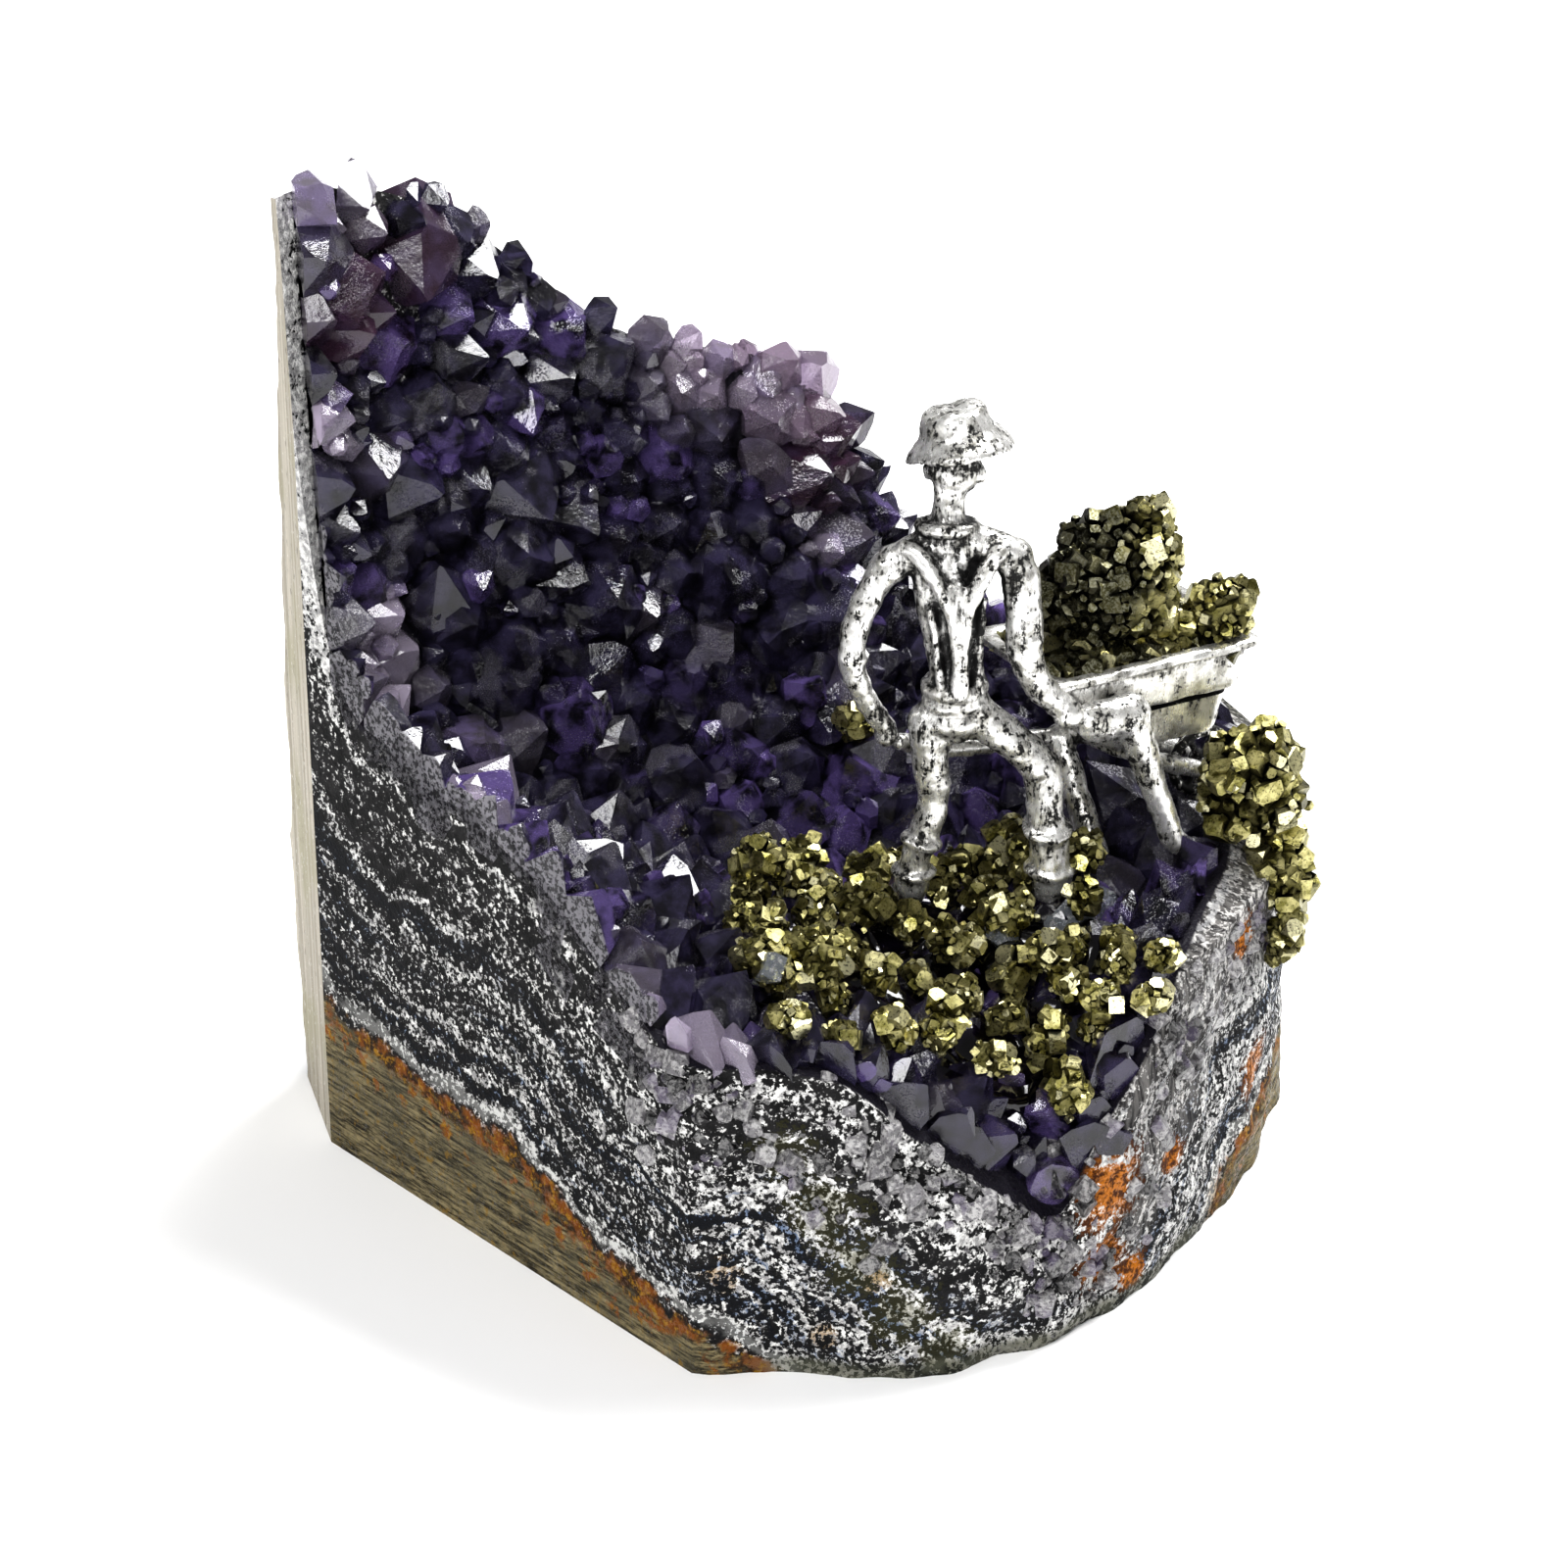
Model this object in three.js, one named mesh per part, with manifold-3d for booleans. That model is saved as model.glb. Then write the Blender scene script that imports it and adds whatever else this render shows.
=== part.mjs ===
// A section of an amethyst geode, sawn flat on its base and two sides, with a cast pewter miner who pushes a
// wheelbarrow of pyrite, and pyrite nuggets glued to the crystals. Millimetres, +Z up, base on z = 0.
// The sawn side face lies in a plane of constant x, and the crystal hollow opens towards -Y and +X.
import * as THREE from "three";
import { ConvexGeometry } from "three/addons/geometries/ConvexGeometry.js";
import { mergeVertices } from "three/addons/utils/BufferGeometryUtils.js";
import Module from "manifold-3d";

const wasm = await Module();
wasm.setup();

// Driving dimensions of the stone
const MIDDLE_X = -1.1; // middle of the footprint
const MIDDLE_Y = 6.4;
const HOLLOW_X = 8; // the lowest part of the crystal hollow, where the figure stands
const HOLLOW_Y = -4;
const FLOOR_Z = 31.5; // height of the stone under the crystals there
const SIDE_CUT_X = -55.5; // plane of the sawn side face
const SECTION_X = -55.5; // a point on the sawn section face, at the corner with the side face
const SECTION_Y = 19.7;
const SECTION_TURN = 26.6; // degrees the section face is turned from the side face
const LEDGE_SLOPE = 0.45; // fall of the broken ledge outside the rim
const RIND_RINGS = 8;
const RIND_STEPS = 44;
const GAP = 0.4; // clearance between neighbouring pieces

// Driving dimensions of the crystals
const CRYSTAL_SPACING = 7; // between the tips of neighbouring crystals in the hollow
const RIM_SPACING = 5.2; // and near the rim
const CRYSTAL_HEIGHT = 0.56; // of a tip over its valleys, as a share of the spacing
const VALLEY_LIFT = 1.6; // thickness of the crust in its valleys
const CRUST_OVERHANG = 1.6; // how far the crust runs over the rim
const BED_DEPTH = 6; // how deep under the crust no other piece may reach

// Driving dimensions of the wheelbarrow, in its own frame: x runs forward from the near rear corner of the
// tray's rim, and y to the far side.
const BARROW_X = 15.8; // place of that corner on the stone
const BARROW_Y = -10.4;
const BARROW_TURN = 12.8; // degrees
const TRAY_RIM_Z = 60.6;
const TRAY_DEPTH = 11.2;
const TRAY_REAR = 1.6; // rear and front of the tray's rim
const TRAY_FRONT = 26;
const TRAY_WIDTH = 15;
const TRAY_WALL = 0.9;
const AXLE = [25, 7.5, 43]; // middle of the wheel
const AXLE_HALF = 3.2;
const WHEEL_RADIUS = 4.2;
const WHEEL_WIDTH = 1.5;

// Driving dimensions of the miner's hat
const HAT_PLACE = [7.8, -5.2, 86.6];
const HAT_RADIUS = 5.2;
const HAT_TILT_X = -8; // degrees
const HAT_TILT_Y = -10;

// The glued nuggets lie in an oval field between the miner's boots and the broken edge.
const FIELD_X = 1;
const FIELD_Y = -16;
const FIELD_HALF_X = 22;
const FIELD_HALF_Y = 16.5;
const NUGGET_SPACING = 4.9;
const NUGGET_SIZE = 4.2;

// Seeds of the scattered crystals and nuggets
const CRYSTAL_SEED = 20117;
const NUGGET_PLACE_SEED = 502;
const NUGGET_SIZE_SEED = 97;

// Stations round the hollow, counter-clockwise from +X: angle in degrees, radius and height of the rim, how
// much of the rise is steep wall, how sharply that wall rises, radius of the foot, thickness of rind outside
// the rim, and how far the rind bulges at mid height.
const STATIONS = [
  [0, 31.5, 39, 0, 2, 37.8, 6, 0.4],
  [15, 37, 39.5, 0, 2, 44.6, 6, 0.8],
  [30, 44, 40.5, 0, 2, 50.5, 5, 2],
  [47, 48.5, 42, 0.2, 3, 55, 3, 4],
  [63, 48.5, 44.5, 0.3, 3, 56.4, 3, 4],
  [75, 48, 49, 0.4, 3, 55.5, 3, 4],
  [84, 46, 61, 0.5, 3.5, 55.2, 3, 4],
  [90, 44, 71, 0.5, 3.5, 55.8, 3, 4],
  [98, 42, 79, 0.5, 3.5, 56.6, 3, 5],
  [110, 44, 82.5, 0.5, 4, 59.5, 3, 5],
  [120, 46.5, 85, 0.5, 4.5, 62.7, 3, 5],
  [130, 51.5, 92, 0.55, 5, 67.5, 3, 5],
  [140, 57.5, 102.5, 0.6, 6, 72.5, 4, 3],
  [148, 62.5, 107, 0.65, 8, 75, 4, 1],
  [156, 68, 109, 0.68, 14, 77, 2.5, 0],
  [164, 71, 105, 0.65, 18, 78, 2, 0],
  [172, 68, 72, 0.3, 12, 75, 2, 0],
  [180, 62, 61, 0.1, 4, 70, 2, 0],
  [194, 54, 52, 0, 2, 62, 2, 0],
  [208, 49.5, 41.5, 0, 2, 52, 1.5, 0],
  [219, 46, 36, 0, 2, 47.5, 1, 0.5],
  [227, 42, 35.5, 0, 2, 43.5, 1, 1],
  [238, 38.5, 33, 0, 2, 41.5, 1, 1],
  [249, 37, 26.5, 0, 2, 40, 1, 1],
  [262, 34.7, 19, 0, 2, 37, 1, 1],
  [273, 32.5, 14.5, 0, 2, 35, 1, 1],
  [281, 31.3, 21, 0, 2, 32.8, 0.6, 0.6],
  [294, 30, 28.5, 0, 2, 31, 0.6, 0.5],
  [308, 28.4, 35.5, 0, 2, 29.8, 1.2, 0.4],
  [325, 27.4, 37.8, 0, 2, 30.2, 2.8, 0.4],
  [343, 28.8, 38.5, 0, 2, 33.4, 4.6, 0.4],
];

const TURN = Math.PI * 2;
const radians = THREE.MathUtils.degToRad;
const point = (x, y, z) => new THREE.Vector3(x, y, z);

// A repeatable run of numbers from 0 to 1.
function randomFrom(seed) {
  let state = seed;
  return () => {
    state = (state * 16807) % 2147483647;
    return state / 2147483647;
  };
}

// Solids and meshes
function solidOf(geometry) {
  const bare = new THREE.BufferGeometry().setAttribute("position", geometry.getAttribute("position").clone());
  if (geometry.index) bare.setIndex(geometry.index.clone());
  const merged = mergeVertices(bare, 1e-4);
  const triVerts = new Uint32Array(merged.index.array);
  return new wasm.Manifold(
    new wasm.Mesh({ numProp: 3, vertProperties: merged.attributes.position.array, triVerts }),
  );
}

// A solid from vertices and faces; a face of more than three corners is a fan round its first one.
function solidFromFaces(vertices, faces) {
  const triangles = [];
  for (const face of faces)
    for (let k = 1; k + 1 < face.length; k++) triangles.push(face[0], face[k], face[k + 1]);
  const vertProperties = new Float32Array(vertices.flatMap((v) => [v.x, v.y, v.z]));
  return new wasm.Manifold(
    new wasm.Mesh({ numProp: 3, vertProperties, triVerts: new Uint32Array(triangles) }),
  );
}

function joined(solids) {
  return solids.reduce((all, one) => all.add(one));
}

function largestBody(solid) {
  return solid.decompose().reduce((best, one) => (one.volume() > best.volume() ? one : best));
}

function boxSolid(sizes, centre, turn = new THREE.Euler()) {
  const geometry = new THREE.BoxGeometry(...sizes);
  geometry.applyMatrix4(new THREE.Matrix4().makeRotationFromEuler(turn));
  geometry.translate(...centre);
  return solidOf(geometry);
}

function meshNode(name, solid, look) {
  const mesh = solid.getMesh();
  const positions = new Float32Array(mesh.numVert * 3);
  for (let i = 0; i < mesh.numVert; i++) {
    const start = i * mesh.numProp;
    positions.set(mesh.vertProperties.subarray(start, start + 3), i * 3);
  }
  const geometry = new THREE.BufferGeometry()
    .setAttribute("position", new THREE.BufferAttribute(positions, 3))
    .setIndex(new THREE.BufferAttribute(mesh.triVerts, 1));
  const node = new THREE.Mesh(geometry, new THREE.MeshStandardMaterial(look));
  node.name = name;
  return node;
}

// The shape of the hollow and of the rind round it
function stationAt(angle) {
  const degrees = THREE.MathUtils.euclideanModulo(THREE.MathUtils.radToDeg(angle), 360);
  const count = STATIONS.length;
  let i = count - 1;
  while (STATIONS[i][0] > degrees) i--;
  const row = (k) => STATIONS[THREE.MathUtils.euclideanModulo(i + k, count)];
  const heading = (k) => row(k)[0] + 360 * Math.floor((i + k) / count);
  const t = (degrees - heading(0)) / (heading(1) - heading(0));
  return row(0).map((value, c) => {
    const slope = (k) => (row(k + 1)[c] - row(k - 1)[c]) / (heading(k + 1) - heading(k - 1));
    const span = heading(1) - heading(0);
    const rise = row(1)[c] - value;
    const m0 = slope(0) * span;
    const m1 = slope(1) * span;
    return value + t * (m0 + t * (3 * rise - 2 * m0 - m1 + t * (m0 + m1 - 2 * rise)));
  });
}

// The hollow's surface under the crystals: share is 0 at its lowest point and 1 at the rim.
function hollowPoint(angle, share) {
  const [, rim, height, wall, power] = stationAt(angle);
  const inside = Math.min(share, 1);
  const rise = (1 - wall) * inside ** 2 + wall * inside ** power;
  const outside = Math.max(share - 1, 0) * rim * LEDGE_SLOPE;
  return point(
    HOLLOW_X + Math.cos(angle) * rim * share,
    HOLLOW_Y + Math.sin(angle) * rim * share,
    FLOOR_Z + (height - FLOOR_Z) * rise - outside,
  );
}

// Past the rim the normal stays that of the rim, halfway between the wall and the ledge.
function hollowNormal(angle, share) {
  const step = 0.04;
  const middle = THREE.MathUtils.clamp(share, step, 1);
  const out = hollowPoint(angle, middle + step).sub(hollowPoint(angle, middle - step));
  const round = hollowPoint(angle + step, middle).sub(hollowPoint(angle - step, middle));
  return out.cross(round).normalize();
}

// The surface under a place in plan, as [angle, share].
function placeOnHollow(x, y) {
  const angle = Math.atan2(y - HOLLOW_Y, x - HOLLOW_X);
  return [angle, Math.hypot(x - HOLLOW_X, y - HOLLOW_Y) / stationAt(angle)[1]];
}

function rindRadius(angle, level) {
  const [, rim, , , , foot, thickness, bulge] = stationAt(angle);
  const top = rim + thickness;
  const swell = bulge * 4 * level * (1 - level);
  const broadLumps = 0.9 * Math.sin(9 * angle + 5 * level) * Math.sin(7 * level + 3 * angle);
  const fineLumps = 0.5 * Math.sin(23 * angle - 9 * level);
  const roughness = Math.min(bulge, 2) / 2;
  return top + (foot - top) * (1 - level ** 2) + swell + (broadLumps + fineLumps) * roughness;
}

// A body that stands round the hollow at the radius that is asked for, and closes above it.
function roundSolid(radiusAt, grow) {
  const topLevel = 1.14;
  const crownHeight = 70;
  const vertices = [point(HOLLOW_X, HOLLOW_Y, -grow), point(HOLLOW_X, HOLLOW_Y, crownHeight)];
  const faces = [];
  for (let i = 0; i < RIND_STEPS; i++) {
    const angle = (i / RIND_STEPS) * TURN;
    const height = stationAt(angle)[2];
    for (let k = 0; k < RIND_RINGS; k++) {
      const level = (k / (RIND_RINGS - 1)) * topLevel;
      const radius = radiusAt(angle, level) + grow;
      vertices.push(
        point(
          HOLLOW_X + Math.cos(angle) * radius,
          HOLLOW_Y + Math.sin(angle) * radius,
          level * height + (k ? 0 : -grow),
        ),
      );
    }
  }
  const at = (i, k) => 2 + (i % RIND_STEPS) * RIND_RINGS + k;
  for (let i = 0; i < RIND_STEPS; i++) {
    faces.push([0, at(i + 1, 0), at(i, 0)], [1, at(i, RIND_RINGS - 1), at(i + 1, RIND_RINGS - 1)]);
    for (let k = 0; k + 1 < RIND_RINGS; k++)
      faces.push([at(i, k), at(i + 1, k), at(i + 1, k + 1), at(i, k + 1)]);
  }
  return solidFromFaces(vertices, faces);
}

// What the saw takes off: everything past the side face and past the section face.
function sawn(solid, grow) {
  const size = 400;
  const side = boxSolid([size, size, size], [SIDE_CUT_X - grow - size / 2, 0, 0]);
  const turn = radians(SECTION_TURN);
  const outward = point(-Math.cos(turn), -Math.sin(turn), 0);
  const centre = point(SECTION_X, SECTION_Y, 0).addScaledVector(outward, size / 2 + grow);
  const section = boxSolid([size, size, size], centre.toArray(), new THREE.Euler(0, 0, turn));
  return solid.subtract(side).subtract(section);
}

// Crystal sites, scattered at even spacing over the hollow and past its rim, and their cells. Distances are
// measured on the hollow unrolled flat: straight out from the lowest point, along the surface.
const UNROLL_STEPS = 40;
const OUTER_SHARE = 1.5;

function unrolledLengths(angle) {
  const lengths = [0];
  let last = hollowPoint(angle, 0);
  for (let k = 1; k <= UNROLL_STEPS; k++) {
    const next = hollowPoint(angle, (k / UNROLL_STEPS) * OUTER_SHARE);
    lengths.push(lengths[k - 1] + next.distanceTo(last));
    last = next;
  }
  return lengths;
}

function unroll(angle, share) {
  const lengths = unrolledLengths(angle);
  const step = Math.min((share / OUTER_SHARE) * UNROLL_STEPS, UNROLL_STEPS - 1e-6);
  const k = Math.floor(step);
  const length = THREE.MathUtils.lerp(lengths[k], lengths[k + 1], step - k);
  return new THREE.Vector2(Math.cos(angle), Math.sin(angle)).multiplyScalar(length);
}

function rollBack(flat) {
  const angle = Math.atan2(flat.y, flat.x);
  const lengths = unrolledLengths(angle);
  const length = flat.length();
  let k = 0;
  while (k < UNROLL_STEPS - 1 && lengths[k + 1] < length) k++;
  const t = (length - lengths[k]) / (lengths[k + 1] - lengths[k]);
  return [angle, ((k + t) / UNROLL_STEPS) * OUTER_SHARE];
}

function crystalSites() {
  const random = randomFrom(CRYSTAL_SEED);
  const tries = 9000;
  const sites = [];
  for (let n = 0; n < tries; n++) {
    const angle = random() * TURN;
    const share = Math.sqrt(random()) * (OUTER_SHARE - 0.02);
    const place = hollowPoint(angle, share);
    const calm = THREE.MathUtils.smoothstep(share, 0.75, 0.95);
    const spacing = THREE.MathUtils.lerp(CRYSTAL_SPACING, RIM_SPACING, calm) * (0.72 + 0.5 * random());
    if (sites.every((other) => other.place.distanceTo(place) > (spacing + other.spacing) / 2))
      sites.push({
        angle,
        share,
        place,
        spacing,
        flat: unroll(angle, share),
        turn: random(),
        lean: random(),
      });
  }
  return sites;
}

// The cell of a site: the corners of what is nearer to it than to any other, each known by its three sites.
function cellOf(sites, own) {
  const reach = 40;
  const centre = sites[own].flat;
  const square = [
    [reach, reach],
    [-reach, reach],
    [-reach, -reach],
    [reach, -reach],
  ];
  let edges = square.map(([x, y], k) => ({
    from: new THREE.Vector2(centre.x + x, centre.y + y),
    beside: -1 - k,
  }));
  sites.forEach((other, index) => {
    if (index === own || other.flat.distanceTo(centre) > reach) return;
    const towards = other.flat.clone().sub(centre);
    const middle = centre.clone().addScaledVector(towards, 0.5);
    const past = edges.map(({ from }) => from.clone().sub(middle).dot(towards));
    if (past.every((p) => p <= 0)) return;
    const kept = [];
    edges.forEach((edge, k) => {
      const next = (k + 1) % edges.length;
      const crossing = () => edge.from.clone().lerp(edges[next].from, past[k] / (past[k] - past[next]));
      if (past[k] <= 0) kept.push(edge);
      if (past[k] <= 0 && past[next] > 0) kept.push({ from: crossing(), beside: index });
      if (past[k] > 0 && past[next] <= 0) kept.push({ from: crossing(), beside: edge.beside });
    });
    edges = kept;
  });
  return edges.map(({ from, beside }, k) => {
    const before = edges[(k + edges.length - 1) % edges.length].beside;
    return { flat: from, key: [own, beside, before].sort((a, b) => a - b).join() };
  });
}

// The cells that make the crust, with each corner's place and normal on the hollow.
function crystalCells() {
  const sites = crystalSites();
  const outermost = OUTER_SHARE - 0.12;
  const corners = new Map();
  const cells = [];
  sites.forEach((site, own) => {
    if (site.share > outermost) return;
    const outline = cellOf(sites, own).map(({ flat, key }) => {
      if (!corners.has(key)) {
        const [angle, share] = rollBack(flat);
        const place = hollowPoint(angle, share);
        corners.set(key, { number: corners.size, place, normal: hollowNormal(angle, share) });
      }
      return corners.get(key);
    });
    cells.push({ site, outline, normal: hollowNormal(site.angle, site.share) });
  });
  return { cells, corners: [...corners.values()] };
}

// A closed solid over the cells: lower and upper give each corner's two places, and tip gives a cell's apex.
function solidOverCells({ cells, corners }, lower, upper, tip) {
  const count = corners.length;
  const vertices = [...corners.map(lower), ...corners.map(upper), ...(tip ? cells.map(tip) : [])];
  const faces = [];
  const borders = new Map();
  cells.forEach(({ outline }, c) => {
    const ring = outline.map(({ number }) => number);
    faces.push([...ring].reverse());
    if (!tip) faces.push(ring.map((n) => n + count));
    ring.forEach((a, k) => {
      const b = ring[(k + 1) % ring.length];
      if (tip) faces.push([a + count, b + count, 2 * count + c]);
      if (borders.has(`${b},${a}`)) borders.delete(`${b},${a}`);
      else borders.set(`${a},${b}`, [a, b]);
    });
  });
  for (const [a, b] of borders.values()) faces.push([a, b, b + count, a + count]);
  return solidFromFaces(vertices, faces);
}

const raised = (corner, lift) => corner.place.clone().addScaledVector(corner.normal, lift);

function crystalTip({ site, normal }, lift) {
  const lean = 0.3 * site.lean * site.spacing;
  const sideways = point(Math.cos(site.turn * TURN), Math.sin(site.turn * TURN), 0);
  sideways.addScaledVector(normal, -sideways.dot(normal));
  const height = VALLEY_LIFT + CRYSTAL_HEIGHT * site.spacing * (0.8 + 0.45 * site.lean) + lift;
  return site.place.clone().addScaledVector(normal, height).addScaledVector(sideways, lean);
}

// Everything in the hollow above the stone, which leaves the stone when it is cut from the rind.
function hollowCutter(crust, lift) {
  const skyZ = 220;
  return solidOverCells(
    crust,
    (corner) => raised(corner, lift),
    (corner) => point(corner.place.x, corner.place.y, skyZ),
  );
}

function stoneSolid(crust, grow) {
  return sawn(roundSolid(rindRadius, grow).subtract(hollowCutter(crust, grow - 0.2)), grow);
}

// Crystals from deep in the stone to their tips, raised by lift: used to bed other pieces on the crust.
function crystalBed(crust, lift, depth) {
  return solidOverCells(
    crust,
    (corner) => raised(corner, depth),
    (corner) => raised(corner, VALLEY_LIFT + lift),
    (cell) => crystalTip(cell, lift),
  );
}

// The crust ends a little past the rim. Grown, it is the room that pieces on it have to keep clear of.
function crustSolid(crust, grow) {
  const limit = roundSolid((angle) => stationAt(angle)[1] + CRUST_OVERHANG, grow);
  const bed = crystalBed(crust, 1.5 * grow, grow ? -BED_DEPTH : GAP);
  return sawn(bed.intersect(limit), grow);
}

// Limbs and rods: the hull of two faceted balls, and a chain of them
const BALL = new THREE.IcosahedronGeometry(1, 0);

function ballPoints(centre, radius, flatten = [1, 1, 1]) {
  const places = BALL.getAttribute("position");
  return Array.from({ length: places.count }, (_, k) =>
    new THREE.Vector3()
      .fromBufferAttribute(places, k)
      .multiply(point(...flatten))
      .multiplyScalar(radius)
      .add(point(...centre)),
  );
}

const hullSolid = (points) => solidOf(new ConvexGeometry(points));

// Each row of a chain is x, y, z and radius.
function chain(rows, grow = 0, flatten) {
  return joined(
    rows.slice(1).map(([x, y, z, r], k) => {
      const [px, py, pz, pr] = rows[k];
      return hullSolid([
        ...ballPoints([px, py, pz], pr + grow, flatten),
        ...ballPoints([x, y, z], r + grow, flatten),
      ]);
    }),
  );
}

// The miner leans into the push with the back to -Y. Each chain runs from the body outwards.
function minerSolid(grow = 0) {
  const leftLeg = [
    [4.4, -8, 56.6, 3.1],
    [5, -8.4, 48.4, 2],
    [2.7, -8.4, 41.5, 1.6],
    [2.9, -7.4, 37.4, 2.1],
    [3.4, -5.2, 35.6, 1.7],
  ];
  const rightLeg = [
    [9.6, -9.2, 57.4, 3.1],
    [16.2, -9.8, 50.2, 2.3],
    [16.6, -11.4, 43, 1.9],
    [16.9, -12, 37.2, 2.3],
    [17.6, -9.6, 35.4, 1.8],
  ];
  const leftArm = [
    [0, -5.4, 73.2, 2.1],
    [-3.8, -6.6, 65.2, 1.8],
    [0.6, -6, 55.8, 1.4],
  ];
  const rightArm = [
    [12.9, -8.4, 75, 2.3],
    [13.8, -9.8, 65.2, 2],
    [18.6, -10.2, 57.8, 1.6],
  ];
  const torso = [
    [6.9, -8.7, 58.6, 3.6],
    [6.9, -8.2, 63.2, 3.1],
    [6.6, -6.8, 70, 3.8],
    [6.6, -6.2, 74, 3.7],
  ];
  const shoulders = [
    [0.8, -5.4, 73.8, 2.1],
    [6.6, -6.4, 76, 2.5],
    [12.2, -8, 75.4, 2.2],
  ];
  const neck = [
    [6.6, -6.2, 76, 2.3],
    [6.8, -5.8, 81, 2.1],
  ];
  const head = [
    [7.6, -5.2, 82.8, 2.7],
    [7.9, -4.8, 85.2, 2.7],
  ];
  return joined([
    chain(leftLeg, grow),
    chain(rightLeg, grow),
    chain(leftArm, grow),
    chain(rightArm, grow),
    chain(torso, grow, [1.12, 0.8, 1]),
    chain(shoulders, grow),
    chain(neck, grow),
    chain(head, grow),
    hatSolid(grow),
  ]);
}

// A soft felt hat: a drooping brim with a dented crown.
function hatSolid(grow) {
  const profile = [
    [0, 0.2 - grow],
    [3, 0.2 - grow],
    [HAT_RADIUS + grow, -0.8 - grow],
    [HAT_RADIUS + grow, -0.2 + grow],
    [3.4 + grow, 0.9],
    [2.9 + grow, 3.4],
    [1.8, 4.1 + grow],
    [0, 3.7 + grow],
  ];
  const hat = new THREE.LatheGeometry(
    profile.map(([r, z]) => new THREE.Vector2(r, z)),
    12,
  );
  hat.rotateX(Math.PI / 2);
  hat.rotateY(radians(HAT_TILT_Y));
  hat.rotateX(radians(HAT_TILT_X));
  hat.translate(...HAT_PLACE);
  return solidOf(hat);
}

// The wheelbarrow, worked out in its own frame, then turned and set down beside the miner
const BARROW_PLACE = new THREE.Matrix4()
  .makeTranslation(BARROW_X, BARROW_Y, 0)
  .multiply(new THREE.Matrix4().makeRotationZ(radians(BARROW_TURN)));

// A box whose foot is smaller than its rim: rim and foot are [low x, high x, low y, high y, z].
function taperedBox(rim, foot) {
  const cornersOf = ([lowX, highX, lowY, highY, z]) => [
    point(lowX, lowY, z),
    point(highX, lowY, z),
    point(highX, highY, z),
    point(lowX, highY, z),
  ];
  return hullSolid([...cornersOf(rim), ...cornersOf(foot)].map((corner) => corner.applyMatrix4(BARROW_PLACE)));
}

// Each side of the tray steps in half way down.
function traySolid(grow = 0) {
  const stepZ = TRAY_RIM_Z - 0.5 * TRAY_DEPTH;
  const footZ = TRAY_RIM_Z - TRAY_DEPTH;
  const section = (rear, front, side) => (t, z) =>
    [TRAY_REAR + rear - t, TRAY_FRONT - front + t, side - t, TRAY_WIDTH - side + t, z];
  const upper = section(0, 0, 0);
  const waist = section(4.5, 1.6, 0.8);
  const step = section(5.6, 2.4, 1.6);
  const foot = section(9, 4.4, 2.6);
  const outside = joined([
    taperedBox(upper(0.7 + grow, TRAY_RIM_Z + grow), upper(0.7 + grow, TRAY_RIM_Z - 0.8 - grow)),
    taperedBox(upper(grow, TRAY_RIM_Z - 0.6), waist(grow, stepZ - grow)),
    taperedBox(step(grow, stepZ + 0.2), foot(grow, footZ - grow)),
  ]);
  const wall = TRAY_WALL + grow;
  const inside = joined([
    taperedBox(upper(-wall, TRAY_RIM_Z + 1), waist(-wall, stepZ)),
    taperedBox(step(-wall, stepZ + 0.5), foot(-wall, footZ + wall)),
  ]);
  return outside.subtract(inside);
}

// Two handles that run forward to the axle, a leg on each, and the cast bracket beside the near hand.
function frameSolid(grow = 0) {
  const [axleX, axleY, axleZ] = AXLE;
  const nearHandle = [
    [4.9, -0.9, 56.2, 1.4],
    [10.2, -0.6, 54.6, 1.9],
    [15, 3.4, 47.4, 1.1],
    [axleX, axleY - AXLE_HALF, axleZ, 1],
  ];
  const nearLeg = [
    [10.2, -0.6, 54.6, 1.9],
    [13, -1.6, 47, 1.2],
    [15.7, -2.3, 39.8, 1.1],
  ];
  const farHandle = [
    [-12, 8.4, 53.6, 1],
    [-4, 11.6, 49.4, 1],
    [12, 11.4, 47.4, 1],
    [axleX, axleY + AXLE_HALF, axleZ, 1],
  ];
  const farLeg = [
    [9.4, 11.4, 47.8, 1.2],
    [10.6, 5, 36, 1.1],
  ];
  const axle = [
    [axleX, axleY - AXLE_HALF, axleZ, 1],
    [axleX, axleY + AXLE_HALF, axleZ, 1],
  ];
  const crossBar = [
    [15, 3.4, 47.4, 0.9],
    [12, 11.4, 47.4, 0.9],
  ];
  const placed = ([x, y, z, r]) => [...point(x, y, z).applyMatrix4(BARROW_PLACE).toArray(), r];
  const rods = [nearHandle, nearLeg, farHandle, farLeg, axle, crossBar];
  return joined(rods.map((rows) => chain(rows.map(placed), grow)));
}

// A disc on the axle, moved along it by offset.
function disc(radius, edgeRadius, width, offset = 0) {
  const sides = 12;
  const geometry = new THREE.CylinderGeometry(radius, edgeRadius, width, sides);
  return solidOf(geometry.translate(0, offset, 0).translate(...AXLE).applyMatrix4(BARROW_PLACE));
}

function wheelSolid(grow = 0) {
  const width = WHEEL_WIDTH + 2 * grow;
  const outer = WHEEL_RADIUS + grow;
  const tyre = disc(outer, outer, width);
  if (grow) return tyre;
  const dish = [WHEEL_RADIUS - 1, WHEEL_RADIUS - 1, 0.8];
  const offset = width / 2 + 0.1;
  return tyre
    .subtract(disc(...dish, offset))
    .subtract(disc(...dish, -offset))
    .add(disc(2, 2, width))
    .subtract(disc(1 + GAP, 1 + GAP, 2 * width));
}

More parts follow.
